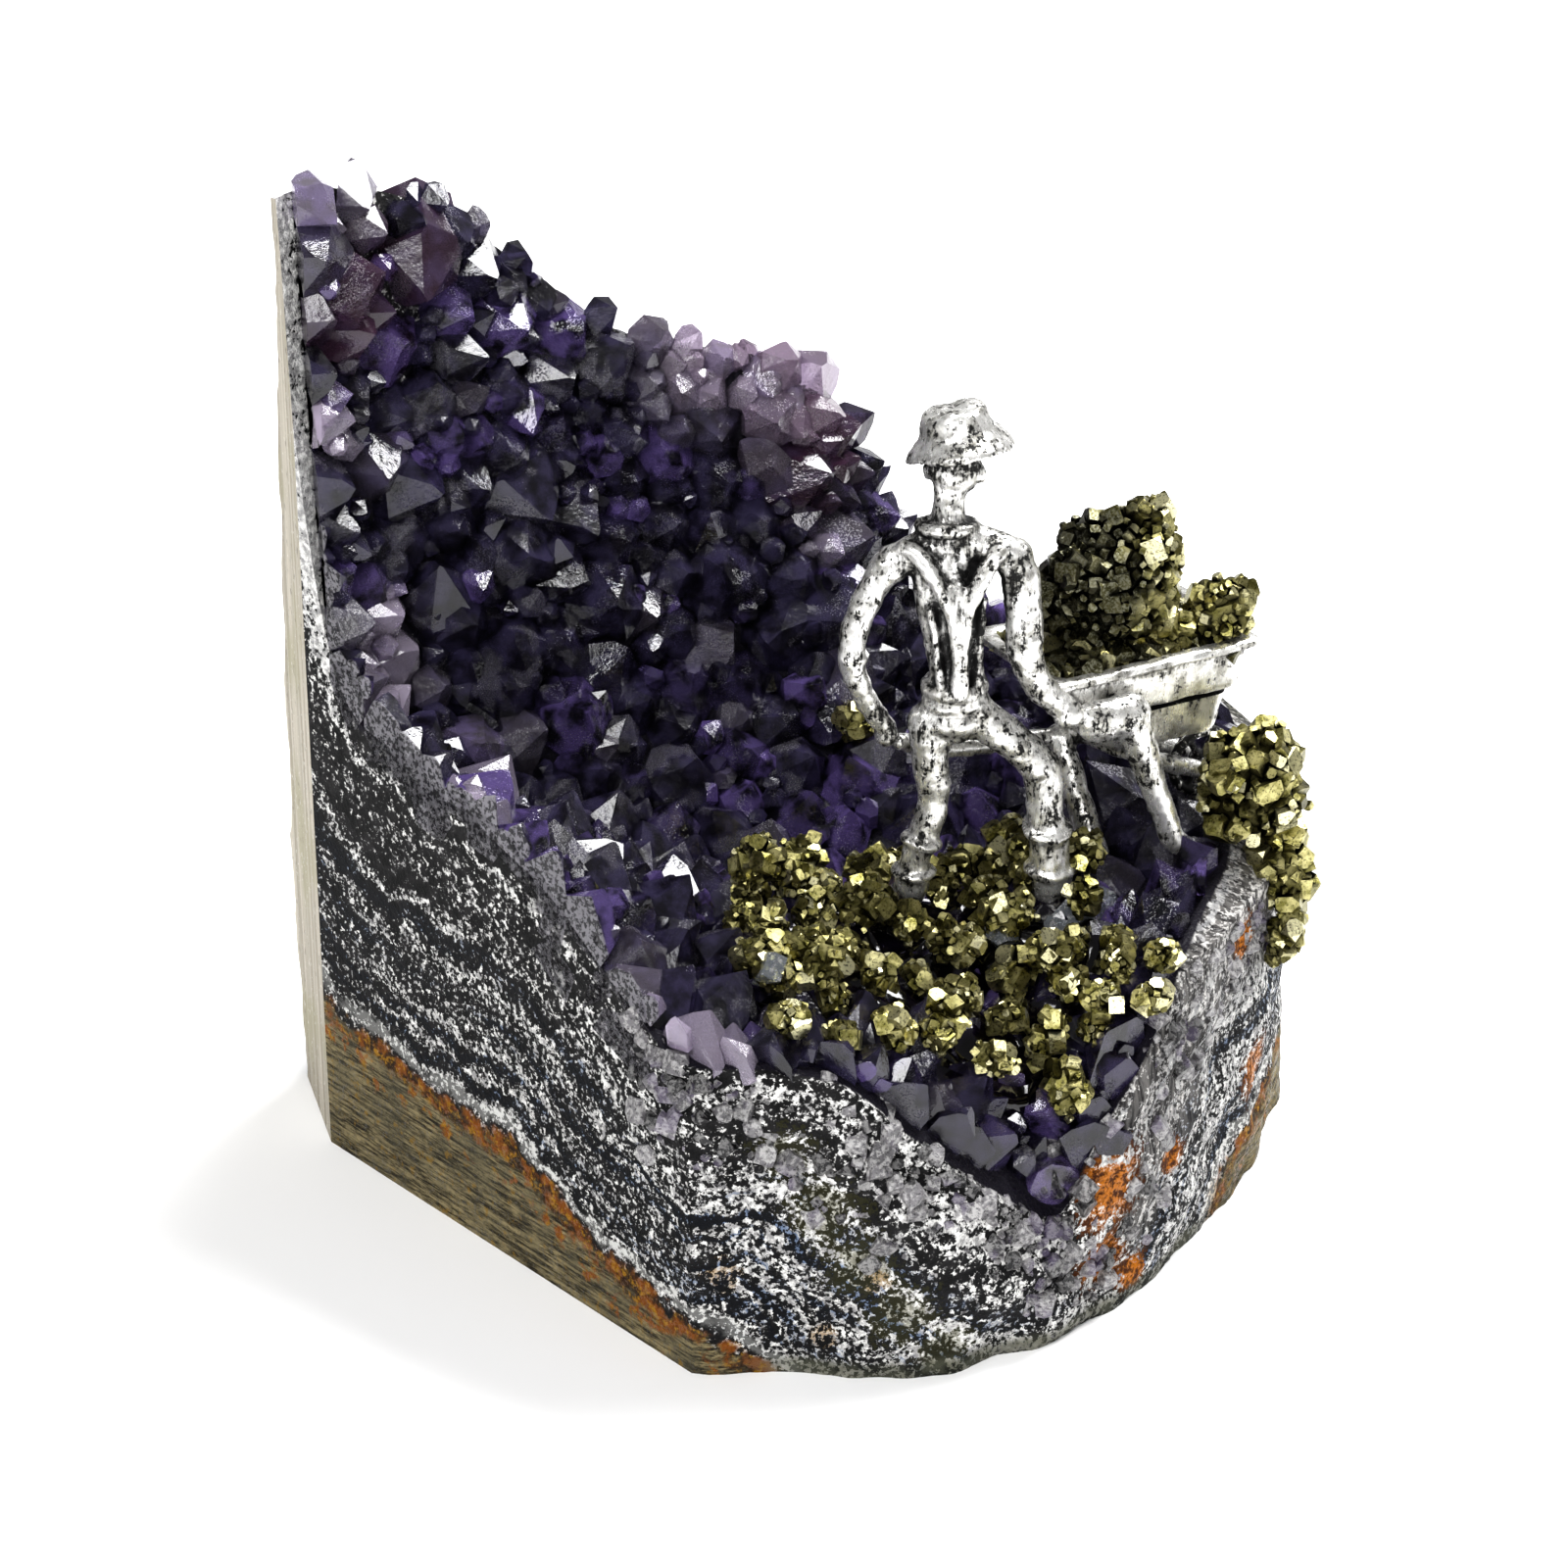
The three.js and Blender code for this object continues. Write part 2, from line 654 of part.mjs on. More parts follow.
// Pyrite: a broken lump with cubes grown out of it
function pyriteSolid(centre, sizes, seed, cubes, grow = 0) {
  const random = randomFrom(seed * 7919 + 13);
  const corners = cubes > 2 ? 13 : 8;
  const squareness = 0.55;
  const lump = Array.from({ length: corners }, (_, k) => {
    const height = 1 - (2 * (k + 0.5)) / corners;
    const turn = k * 2.4 + random() * 0.6;
    const flat = Math.sqrt(1 - squareness * height * height);
    const reach = 0.46 + 0.1 * random();
    return point(
      centre[0] + Math.cos(turn) * flat * (sizes[0] * reach + grow),
      centre[1] + Math.sin(turn) * flat * (sizes[1] * reach + grow),
      centre[2] + height * (sizes[2] * reach + grow),
    );
  });
  const parts = [hullSolid(lump)];
  for (let k = 0; k < cubes; k++) {
    const place = centre.map((c, i) => c + (random() - 0.5) * 0.62 * sizes[i]);
    const share = cubes > 2 ? 0.3 + 0.14 * random() : 0.62;
    const turn = new THREE.Euler(random() * TURN, random() * TURN, random() * TURN);
    parts.push(boxSolid(sizes.map((size) => size * share + 2 * grow), place, turn));
  }
  return joined(parts);
}

// Pieces outside the nugget field: name, centre, sizes, seed and number of cubes.
const LOAD = [
  ["load_chunk", [26.6, -1, 67.8], [15.5, 12.5, 18.5], 3, 6],
  ["load_nugget", [37.6, -2.8, 63], [8, 7.4, 7.6], 5, 3],
  ["load_crumb_near", [24, -5, 59.6], [6, 3.6, 4], 8, 1],
  ["load_crumb_front", [32.6, -3.6, 60.6], [5, 4, 4.4], 11, 1],
];
const CLUSTER = [
  ["cluster_upper", [39.8, -8.6, 46], [12, 11, 14], 21, 5],
  ["cluster_lower", [42.4, -10.8, 36], [8, 8, 10], 29, 3],
  ["cluster_cube", [42.6, -13.4, 29.4], [5, 5, 7], 34, 1],
];

const AMETHYST = { color: 0x3a2a5c, roughness: 0.15, metalness: 0 };
const STONE = { color: 0x77746c, roughness: 0.85, metalness: 0 };
const PEWTER = { color: 0xb9b7b0, roughness: 0.35, metalness: 1 };
const PYRITE = { color: 0xa89a52, roughness: 0.35, metalness: 1 };

function nuggetPlaces() {
  const random = randomFrom(NUGGET_PLACE_SEED);
  const tries = 900;
  const places = [];
  for (let n = 0; n < tries; n++) {
    const acrossX = 2 * random() - 1;
    const acrossY = 2 * random() - 1;
    const place = point(FIELD_X + FIELD_HALF_X * acrossX, FIELD_Y + FIELD_HALF_Y * acrossY, 0);
    const inField = Math.abs(acrossX) ** 3 + Math.abs(acrossY) ** 3 < 1;
    if (inField && places.every((other) => other.distanceTo(place) > NUGGET_SPACING)) places.push(place);
  }
  return places;
}

// Each nugget is raised until it clears the crystals under it, as one that rests on their tips. One that would
// lose much of itself to a boot or a leg is left out.
function nuggetSolids(bed, blockers) {
  const random = randomFrom(NUGGET_SIZE_SEED);
  const step = 0.3;
  const leastShare = 0.5;
  const made = [];
  nuggetPlaces().forEach(({ x, y }, k) => {
    const [angle, share] = placeOnHollow(x, y);
    const normal = hollowNormal(angle, share);
    const size = NUGGET_SIZE * (0.9 + 0.4 * random());
    const seat = hollowPoint(angle, share).addScaledVector(normal, VALLEY_LIFT + 0.5 * size);
    const sizes = [size, size * 0.94, size * 0.86];
    const lump = (grow) => pyriteSolid(seat.toArray(), sizes, k + 1, 1, grow);
    while (lump(0).intersect(bed).volume() > 0) seat.addScaledVector(normal, step);
    const near = made.filter((other) => other.seat.distanceTo(seat) < 2 * size);
    const cutters = [...blockers, ...near.map((other) => other.lump(GAP))];
    const whole = lump(0);
    const solid = largestBody(cutters.reduce((left, cutter) => left.subtract(cutter), whole));
    if (solid.volume() > leastShare * whole.volume()) made.push({ seat, lump, solid });
  });
  return made.map(({ solid }) => solid);
}

function buildNodes() {
  const crust = crystalCells();
  const bed = crustSolid(crust, GAP);
  const stoneRoom = stoneSolid(crust, GAP);
  const standing = (solid) => largestBody(solid.subtract(bed).subtract(stoneRoom));
  const miner = standing(minerSolid());
  const minerRoom = minerSolid(GAP);
  const tray = traySolid().subtract(minerRoom);
  const trayRoom = traySolid(GAP);
  const frame = standing(frameSolid().subtract(minerRoom).subtract(trayRoom));
  const frameRoom = frameSolid(GAP);
  const wheel = standing(wheelSolid());
  const wheelRoom = wheelSolid(GAP);

  const nodes = [
    meshNode("stone", largestBody(stoneSolid(crust, 0)), STONE),
    meshNode("amethyst_crust", largestBody(crustSolid(crust, 0)), AMETHYST),
    meshNode("miner", miner, PEWTER),
    meshNode("barrow_tray", largestBody(tray), PEWTER),
    meshNode("barrow_frame", frame, PEWTER),
    meshNode("barrow_wheel", wheel, PEWTER),
  ];
  const placed = [];
  for (const [name, centre, sizes, seed, cubes] of [...LOAD, ...CLUSTER]) {
    const solid = [minerRoom, frameRoom, wheelRoom, bed, stoneRoom, trayRoom, ...placed].reduce(
      (left, cutter) => left.subtract(cutter),
      pyriteSolid(centre, sizes, seed, cubes),
    );
    placed.push(pyriteSolid(centre, sizes, seed, cubes, GAP));
    nodes.push(meshNode("pyrite_" + name, largestBody(solid), PYRITE));
  }
  const blockers = [minerRoom, frameRoom, wheelRoom, ...placed];
  nuggetSolids(bed, blockers).forEach((solid, k) => {
    nodes.push(meshNode("pyrite_nugget_" + String(k + 1).padStart(2, "0"), solid, PYRITE));
  });
  return nodes;
}

// The origin is under the middle of the whole piece, on the sawn base.
const pieces = new THREE.Group();
pieces.position.set(-MIDDLE_X, -MIDDLE_Y, 0);
pieces.add(...buildNodes());

const geode = new THREE.Group();
geode.name = "geode";
geode.add(pieces);

export default geode;
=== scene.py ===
# %% [markdown]
# An amethyst geode with a pewter miner
#
# This lesson dresses a small desk ornament: a wedge sawn from an amethyst geode, with a cast pewter miner
# who wheels pyrite over the crystals, and pyrite nuggets glued round the boots. The solids of every piece
# already exist and are loaded as a fixed frame. Each cell below adds one piece of the look in its right
# place.

# %% Load the frame and measure it
import itertools
import math
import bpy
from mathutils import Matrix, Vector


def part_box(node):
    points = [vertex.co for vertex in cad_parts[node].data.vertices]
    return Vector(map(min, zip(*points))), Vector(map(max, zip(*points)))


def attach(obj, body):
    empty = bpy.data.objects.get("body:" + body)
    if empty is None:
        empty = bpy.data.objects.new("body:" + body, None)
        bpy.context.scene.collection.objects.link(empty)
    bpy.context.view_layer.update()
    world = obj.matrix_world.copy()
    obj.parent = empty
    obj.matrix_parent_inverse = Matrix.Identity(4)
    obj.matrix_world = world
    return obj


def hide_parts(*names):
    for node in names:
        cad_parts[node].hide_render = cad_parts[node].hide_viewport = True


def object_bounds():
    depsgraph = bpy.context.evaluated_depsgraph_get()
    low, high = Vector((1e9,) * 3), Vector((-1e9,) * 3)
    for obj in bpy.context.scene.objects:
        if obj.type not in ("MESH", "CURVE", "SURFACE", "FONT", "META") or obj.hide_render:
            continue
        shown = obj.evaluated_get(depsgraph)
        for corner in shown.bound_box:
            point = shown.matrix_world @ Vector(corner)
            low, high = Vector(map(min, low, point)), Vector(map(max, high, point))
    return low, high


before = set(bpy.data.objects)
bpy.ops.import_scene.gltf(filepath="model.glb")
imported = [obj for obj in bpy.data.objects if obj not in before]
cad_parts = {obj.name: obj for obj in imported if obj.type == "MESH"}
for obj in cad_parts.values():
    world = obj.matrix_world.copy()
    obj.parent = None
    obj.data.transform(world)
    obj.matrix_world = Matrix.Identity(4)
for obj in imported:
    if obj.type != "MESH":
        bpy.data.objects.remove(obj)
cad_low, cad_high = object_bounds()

from types import SimpleNamespace

import bmesh
import bpy
import numpy as np
from mathutils import Matrix, Vector, bvhtree, geometry, kdtree, noise

MM = 0.001
BOX_LOW = np.array(cad_low) / MM
BOX_HIGH = np.array(cad_high) / MM
print("frame box in mm", BOX_LOW.round(1), BOX_HIGH.round(1), "nodes", len(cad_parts))

# %% [markdown]
# Work in millimetres, store in metres
#
# The stone is about 110 mm across and its crystals 4 to 9 mm, so millimetres are the natural numbers to
# think in. Blender's unit is the metre. One helper multiplies by MM at the moment a mesh is made, which
# keeps every other formula free of tiny numbers. Smooth shading is off by default, because most of this
# piece is facets.

# %% Make a mesh piece
MATERIALS = {}


def mesh_piece(name, points, faces, materials, smooth=False, values=None):
    """A mesh object from points in millimetres. values are named numbers, one for each point."""
    mesh = bpy.data.meshes.new(name)
    mesh.from_pydata((np.asarray(points) * MM).tolist(), [], faces)
    for value_name, numbers in (values or {}).items():
        attribute = mesh.attributes.new(value_name, "FLOAT", "POINT")
        attribute.data.foreach_set("value", np.asarray(numbers, np.float32))
    for material in materials:
        mesh.materials.append(MATERIALS[material])
    mesh.polygons.foreach_set("use_smooth", [smooth] * len(mesh.polygons))
    mesh.update()
    piece = bpy.data.objects.new(name, mesh)
    bpy.context.scene.collection.objects.link(piece)
    return piece


def dress(piece, slot=None, *nodes):
    """The piece moves with the one body and stands for the nodes, which it hides. The slot is not used."""
    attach(piece, "root")
    if nodes:
        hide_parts(*nodes)
    print(piece.name, len(piece.data.polygons), "faces, stands for", len(nodes), "nodes")


# %% [markdown]
# Writing shader maths as expressions
#
# A stone's colour is arithmetic: how deep a point lies, plus some noise, between two limits. Wiring that by
# hand takes dozens of Math nodes. The small class below wraps one output socket, so that 1 - mask or depth
# * 0.5 adds the node by itself. Colours and vectors go through Mix and Vector Math, because a Math node
# would turn a colour grey.

# %% Wrap a socket
class Wire:
    """One output of a node, or with no socket the start of a material's nodes."""

    def __init__(self, tree, socket=None):
        self.tree = tree
        self.socket = socket

    def node(self, kind, settings=None, inputs=None, output=0):
        made = self.tree.nodes.new(kind)
        for name, value in (settings or {}).items():
            setattr(made, name, value)
        for name, value in (inputs or {}).items():
            if isinstance(value, Wire):
                self.tree.links.new(value.socket, made.inputs[name])
            else:
                made.inputs[name].default_value = value
        return Wire(self.tree, made.outputs[output])

    def maths(self, operation, *values):
        return self.node("ShaderNodeMath", {"operation": operation}, dict(enumerate(values)))

    def __add__(self, other):
        return self.maths("ADD", self, other)

    __radd__ = __add__

    def __sub__(self, other):
        return self.maths("SUBTRACT", self, other)

    def __rsub__(self, other):
        return self.maths("SUBTRACT", other, self)

    def __mul__(self, other):
        return self.maths("MULTIPLY", self, other)

    __rmul__ = __mul__

    def step(self, low, high):
        """0 below low, 1 above high, and smooth between them."""
        settings = {"interpolation_type": "SMOOTHSTEP"}
        limits = {"Value": self, "From Min": low, "From Max": high}
        if low > high:
            limits.update({"From Min": high, "From Max": low, "To Min": 1.0, "To Max": 0.0})
        return self.node("ShaderNodeMapRange", settings, limits)

    def band(self, middle, half, soft):
        """1 within half of middle, fading over soft."""
        away = self.maths("ABSOLUTE", self - middle)
        return away.step(half + soft, half)


# %% Read places, attributes and noise
def rgb(code, alpha=1.0):
    """A colour written as six hexadecimal digits, made linear as shaders need it."""
    parts = [int(code[k : k + 2], 16) / 255 for k in (0, 2, 4)]
    return (*[c / 12.92 if c <= 0.04045 else ((c + 0.055) / 1.055) ** 2.4 for c in parts], alpha)


def mix(mask, below, above):
    """The colour below where the mask is 0, and above where it is 1."""
    start = next(w for w in (mask, below, above) if isinstance(w, Wire))
    return start.node("ShaderNodeMix", {"data_type": "RGBA"}, {0: mask, 6: below, 7: above}, output=2)


def place_mm(start):
    """Where the point lies, in millimetres."""
    place = start.node("ShaderNodeTexCoord", output=3)
    return place.node("ShaderNodeVectorMath", {"operation": "SCALE"}, {0: place, "Scale": 1 / MM})


def stretched(place, turn_z, sizes):
    """The place turned about Z by degrees, then scaled: a long size gives grain along that axis."""
    inputs = {"Vector": place, "Rotation": (0, 0, math.radians(turn_z)), "Scale": [1 / s for s in sizes]}
    return place.node("ShaderNodeMapping", None, inputs)


def grain(place, size, detail=2.0, rough=0.5):
    """Noise from 0 to 1 whose lumps are about size millimetres wide."""
    inputs = {"Vector": place, "Scale": 1 / size, "Detail": detail, "Roughness": rough}
    return place.node("ShaderNodeTexNoise", None, inputs)


def parts_of(place):
    """The three numbers of a place."""
    split = place.node("ShaderNodeSeparateXYZ", None, {"Vector": place})
    outputs = split.socket.node.outputs
    return [Wire(place.tree, outputs[k]) for k in range(3)]


def joined(x, y, z):
    """A place made of three numbers."""
    start = next(w for w in (x, y, z) if isinstance(w, Wire))
    return start.node("ShaderNodeCombineXYZ", None, {"X": x, "Y": y, "Z": z})


def value_of(start, name):
    """A named number that the mesh carries at its points."""
    return start.node("ShaderNodeAttribute", {"attribute_name": name}, output=2)


def finish_material(name, looks, **uniform):
    """A Principled material. looks are the sockets that vary, uniform the ones that are the same all over."""
    material = bpy.data.materials.new(name)
    material.use_nodes = True
    shader = material.node_tree.nodes["Principled BSDF"]
    for socket, value in uniform.items():
        shader.inputs[socket.replace("_", " ")].default_value = value
    sockets = looks(Wire(material.node_tree))
    for socket, wire in sockets.items():
        if socket == "Bump":
            height, distance, strength = wire
            inputs = {"Height": height, "Distance": distance * MM, "Strength": strength}
            wire = height.node("ShaderNodeBump", None, inputs)
            socket = "Normal"
        material.node_tree.links.new(wire.socket, shader.inputs[socket])
    MATERIALS[name] = material
    print("material", name, "with", len(material.node_tree.nodes), "nodes")


# %% [markdown]
# The camera and the studio
#
# The photograph looks down at the ornament from in front and to the left, with a long lens, and the ground
# is pure white. A pale floor under a bright even sky gives that, and three soft lamps give the shapes their
# light and dark sides. The lamps are large and close, so that shadows have soft edges. Each is turned
# towards the middle of the stone.

# %% Camera
CAMERA_PLACE = (-0.1209, -0.4114, 0.262)
CAMERA_DOWN = 27.0
CAMERA_HEADING = -15.6
LENS = 103.5

camera_data = bpy.data.cameras.new("camera")
camera_data.lens = LENS
camera_data.clip_start = 0.01
camera = bpy.data.objects.new("camera", camera_data)
camera.location = CAMERA_PLACE
camera.rotation_euler = (math.radians(90 - CAMERA_DOWN), 0, math.radians(CAMERA_HEADING))
bpy.context.scene.collection.objects.link(camera)
bpy.context.scene.camera = camera

# %% Floor, sky and lamps
FLOOR_HALF = 4.0
FLOOR_TONES = (0.94, 0.96)
FLOOR_CLOUD = 180.0
SKY_STRENGTH = 0.24
STAGE_MIDDLE = Vector((0, 0, 0.05))
LAMPS = {
    "key": {"place": (0.42, 0.26, 0.80), "size": 0.50, "power": 15.0},
    "front": {"place": (-0.05, -0.90, 0.50), "size": 0.30, "power": 2.6},
    "left": {"place": (-0.46, -0.46, 0.66), "size": 0.35, "power": 5.0},
}


def look_floor(start):
    dark, pale = [(tone, tone, tone, 1) for tone in FLOOR_TONES]
    return {"Base Color": mix(grain(place_mm(start), FLOOR_CLOUD), dark, pale)}


finish_material("floor", look_floor, Roughness=0.9)
floor = mesh_piece(
    "floor",
    np.array([(-1, -1, 0), (1, -1, 0), (1, 1, 0), (-1, 1, 0)]) * FLOOR_HALF / MM,
    [(0, 1, 2, 3)],
    ["floor"],
)

world = bpy.data.worlds.new("studio")
world.use_nodes = True
world.node_tree.nodes["Background"].inputs["Color"].default_value = (1, 1, 1, 1)
world.node_tree.nodes["Background"].inputs["Strength"].default_value = SKY_STRENGTH
bpy.context.scene.world = world

for lamp_name, lamp in LAMPS.items():
    light = bpy.data.lights.new(lamp_name, "AREA")
    light.size = lamp["size"]
    light.energy = lamp["power"]
    holder = bpy.data.objects.new(lamp_name, light)
    holder.location = lamp["place"]
    holder.rotation_euler = (STAGE_MIDDLE - holder.location).to_track_quat("-Z", "Y").to_euler()
    bpy.context.scene.collection.objects.link(holder)
bpy.context.scene.view_settings.view_transform = "Standard"
bpy.context.scene.view_settings.look = "Medium High Contrast"
print("lamps", len(LAMPS))

# %% [markdown]
# The shape of the hollow
#
# The hollow and its rind are described by stations round a centre, as a potter describes a bowl by its
# section. At each angle a station gives how far out and how high the rim is, how steeply the wall rises,
# and how far out the foot stands. Between stations a smooth cubic curve fills in. The solids of the frame
# were made with the same table, so a finer mesh made from it lies exactly on them. A sculpted mesh would
# look as good, but it could not be matched to the solids or remade at another fineness.

# %% Stations
HOLLOW_X = 9.1
HOLLOW_Y = -10.4
FLOOR_Z = 31.5
LEDGE_SLOPE = 0.45
# angle in degrees, rim radius, rim height, share of steep wall, its power, foot radius, rind, bulge
STATIONS = np.array([
    [0, 31.5, 39, 0, 2, 37.8, 6, 0.4],
    [15, 37, 39.5, 0, 2, 44.6, 6, 0.8],
    [30, 44, 40.5, 0, 2, 50.5, 5, 2],
    [47, 48.5, 42, 0.2, 3, 55, 3, 4],
    [63, 48.5, 44.5, 0.3, 3, 56.4, 3, 4],
    [75, 48, 49, 0.4, 3, 55.5, 3, 4],
    [84, 46, 61, 0.5, 3.5, 55.2, 3, 4],
    [90, 44, 71, 0.5, 3.5, 55.8, 3, 4],
    [98, 42, 79, 0.5, 3.5, 56.6, 3, 5],
    [110, 44, 82.5, 0.5, 4, 59.5, 3, 5],
    [120, 46.5, 85, 0.5, 4.5, 62.7, 3, 5],
    [130, 51.5, 92, 0.55, 5, 67.5, 3, 5],
    [140, 57.5, 102.5, 0.6, 6, 72.5, 4, 3],
    [148, 62.5, 107, 0.65, 8, 75, 4, 1],
    [156, 68, 109, 0.68, 14, 77, 2.5, 0],
    [164, 71, 105, 0.65, 18, 78, 2, 0],
    [172, 68, 72, 0.3, 12, 75, 2, 0],
    [180, 62, 61, 0.1, 4, 70, 2, 0],
    [194, 54, 52, 0, 2, 62, 2, 0],
    [208, 49.5, 41.5, 0, 2, 52, 1.5, 0],
    [219, 46, 36, 0, 2, 47.5, 1, 0.5],
    [227, 42, 35.5, 0, 2, 43.5, 1, 1],
    [238, 38.5, 33, 0, 2, 41.5, 1, 1],
    [249, 37, 26.5, 0, 2, 40, 1, 1],
    [262, 34.7, 19, 0, 2, 37, 1, 1],
    [273, 32.5, 14.5, 0, 2, 35, 1, 1],
    [281, 31.3, 21, 0, 2, 32.8, 0.6, 0.6],
    [294, 30, 28.5, 0, 2, 31, 0.6, 0.5],
    [308, 28.4, 35.5, 0, 2, 29.8, 1.2, 0.4],
    [325, 27.4, 37.8, 0, 2, 30.2, 2.8, 0.4],
    [343, 28.8, 38.5, 0, 2, 33.4, 4.6, 0.4],
])  # fmt: skip


def station_at(angle):
    """The table's columns at each angle in radians, smooth from one station to the next."""
    degrees = np.degrees(np.asarray(angle, float)) % 360
    count = len(STATIONS)
    i = np.searchsorted(STATIONS[:, 0], degrees, side="right") - 1

    def row(k):
        return STATIONS[(i + k) % count]

    def heading(k):
        return row(k)[..., 0] + 360 * ((i + k) // count)

    span = (heading(1) - heading(0))[..., None]
    t = ((degrees - heading(0)) / span[..., 0])[..., None]
    value, rise = row(0), row(1) - row(0)
    m0 = (row(1) - row(-1)) / (heading(1) - heading(-1))[..., None] * span
    m1 = (row(2) - row(0)) / (heading(2) - heading(0))[..., None] * span
    return value + t * (m0 + t * (3 * rise - 2 * m0 - m1 + t * (m0 + m1 - 2 * rise)))


# %% Points of the hollow and of the rind
def hollow_point(angle, share):
    """The surface under the crystals: share is 0 at its lowest point and 1 at the rim."""
    _, rim, height, wall, power, _, _, _ = np.moveaxis(station_at(angle), -1, 0)
    inside = np.minimum(share, 1)
    rise = (1 - wall) * inside**2 + wall * inside**power
    drop = np.maximum(share - 1, 0) * rim * LEDGE_SLOPE
    x = HOLLOW_X + np.cos(angle) * rim * share
    y = HOLLOW_Y + np.sin(angle) * rim * share
    return np.stack([x, y, FLOOR_Z + (height - FLOOR_Z) * rise - drop], axis=-1)


def hollow_normal(angle, share, step=0.04):
    middle = np.clip(share, step, 1)
    out = hollow_point(angle, middle + step) - hollow_point(angle, middle - step)
    around = hollow_point(angle + step, middle) - hollow_point(angle - step, middle)
    normal = np.cross(out, around)
    return normal / np.linalg.norm(normal, axis=-1, keepdims=True)


def rind_radius(angle, level):
    """How far out the rind stands; level is 0 at the base and 1 at the rim's height."""
    _, rim, _, _, _, foot, thickness, bulge = np.moveaxis(station_at(angle), -1, 0)
    top = rim + thickness
    broad = 0.9 * np.sin(9 * angle + 5 * level) * np.sin(7 * level + 3 * angle)
    fine = 0.5 * np.sin(23 * angle - 9 * level)
    swell = bulge * 4 * level * (1 - level)
    return top + (foot - top) * (1 - level**2) + swell + (broad + fine) * np.minimum(bulge, 2) / 2


print("rim at 90 degrees", hollow_point(np.array(math.pi / 2), np.array(1.0)).round(1))

# %% [markdown]
# The stone as one closed mesh
#
# Real geodes are sawn with a diamond blade, and what the saw did not touch is broken or weathered. So the
# mesh is made in the same order: first the whole round stone, then two straight cuts. The round stone is
# three sheets that share their edges: a foot, the outside from the foot up, and the hollow from its lowest
# point out to where it meets the outside. Where it is broken or weathered the sheets are pushed in and out
# by noise. The cuts use bisect, and each open cut is closed by a constrained Delaunay mesh, which gives
# small even triangles that can carry the numbers that the material reads.

# %% The round stone
STONE_TURNS = 420
OUTSIDE_RINGS = 64
HOLLOW_RINGS = 40
HOLLOW_SINK = 0.2
TURNS = np.arange(STONE_TURNS) / STONE_TURNS * math.tau


def where_sheets_meet(angle):
    """The share at which the hollow, past its rim, comes out through the rind."""
    columns = station_at(angle)
    rim, height = columns[..., 1], columns[..., 2]
    share = (rim + columns[..., 6]) / rim
    for _ in range(12):
        level = (height - (share - 1) * rim * LEDGE_SLOPE) / height
        share = rind_radius(angle, level) / rim
    return share, level


def roughened(points, strength, seed):
    """Pushes points in and out sideways by noise, up to strength millimetres each."""
    centre = np.array([HOLLOW_X, HOLLOW_Y, 0])
    moved = points.copy()
    for k, (point, much) in enumerate(zip(points, strength)):
        if much > 0:
            away = point - centre
            away[2] = 0
            place = Vector(point / 9.0) + Vector((seed, 0, 0))
            lumps = noise.fractal(place, 1.0, 2.1, 5)
            plates = noise.noise(Vector((point[0] / 14, point[1] / 14, point[2] / 2.2)))
            push = (0.8 * lumps + 0.35 * plates) * much
            moved[k] += away / np.linalg.norm(away) * push
    return moved


meet_share, meet_level = where_sheets_meet(TURNS)
columns = station_at(TURNS)
outside = []
for ring in range(OUTSIDE_RINGS + 1):
    level = meet_level * ring / OUTSIDE_RINGS
    radius = rind_radius(TURNS, level)
    x = HOLLOW_X + np.cos(TURNS) * radius
    y = HOLLOW_Y + np.sin(TURNS) * radius
    outside.append(np.stack([x, y, level * columns[:, 2]], axis=-1))
hollow = []
for ring in range(HOLLOW_RINGS - 1):
    share = meet_share * ((HOLLOW_RINGS - ring - 1) / HOLLOW_RINGS) ** 0.6
    hollow.append(hollow_point(TURNS, share) - HOLLOW_SINK * hollow_normal(TURNS, share))
sheets = np.concatenate([np.array(outside), np.array(hollow)])
print("sheets", sheets.shape)

# %% Join the sheets and cut them with the saw
SIDE_X = -54.4
SIDE_CUT = (Vector((SIDE_X, 0, 0)), Vector((-1, 0, 0)))
SECTION_CORNER = Vector((SIDE_X, 13.3, 0))
SECTION_DEGREES = 26.6
SECTION_TURN = math.radians(SECTION_DEGREES)
SECTION_CUT = (SECTION_CORNER, Vector((-math.cos(SECTION_TURN), -math.sin(SECTION_TURN), 0)))
SAW_CUTS = {"side": SIDE_CUT, "section": SECTION_CUT}
CAP_SPACING = 0.9


def round_stone():
    """The whole stone before the saw, as points in millimetres and faces."""
    rings = len(sheets)
    points = list(sheets.reshape(-1, 3))
    at = lambda ring, turn: ring * STONE_TURNS + turn % STONE_TURNS
    faces = []
    for ring in range(rings - 1):
        for turn in range(STONE_TURNS):
            faces.append((at(ring, turn), at(ring, turn + 1), at(ring + 1, turn + 1), at(ring + 1, turn)))
    points += [np.array([HOLLOW_X, HOLLOW_Y, 0]), hollow_point(np.array(0.0), np.array(0.0))]
    for turn in range(STONE_TURNS):
        faces.append((len(points) - 2, at(0, turn + 1), at(0, turn)))
        faces.append((len(points) - 1, at(rings - 1, turn), at(rings - 1, turn + 1)))
    return np.array(points), faces


def tree_of(points):
    """A k-d tree, which finds the nearest of many points."""
    tree = kdtree.KDTree(len(points))
    for k, point in enumerate(points):
        tree.insert(point, k)
    tree.balance()
    return tree


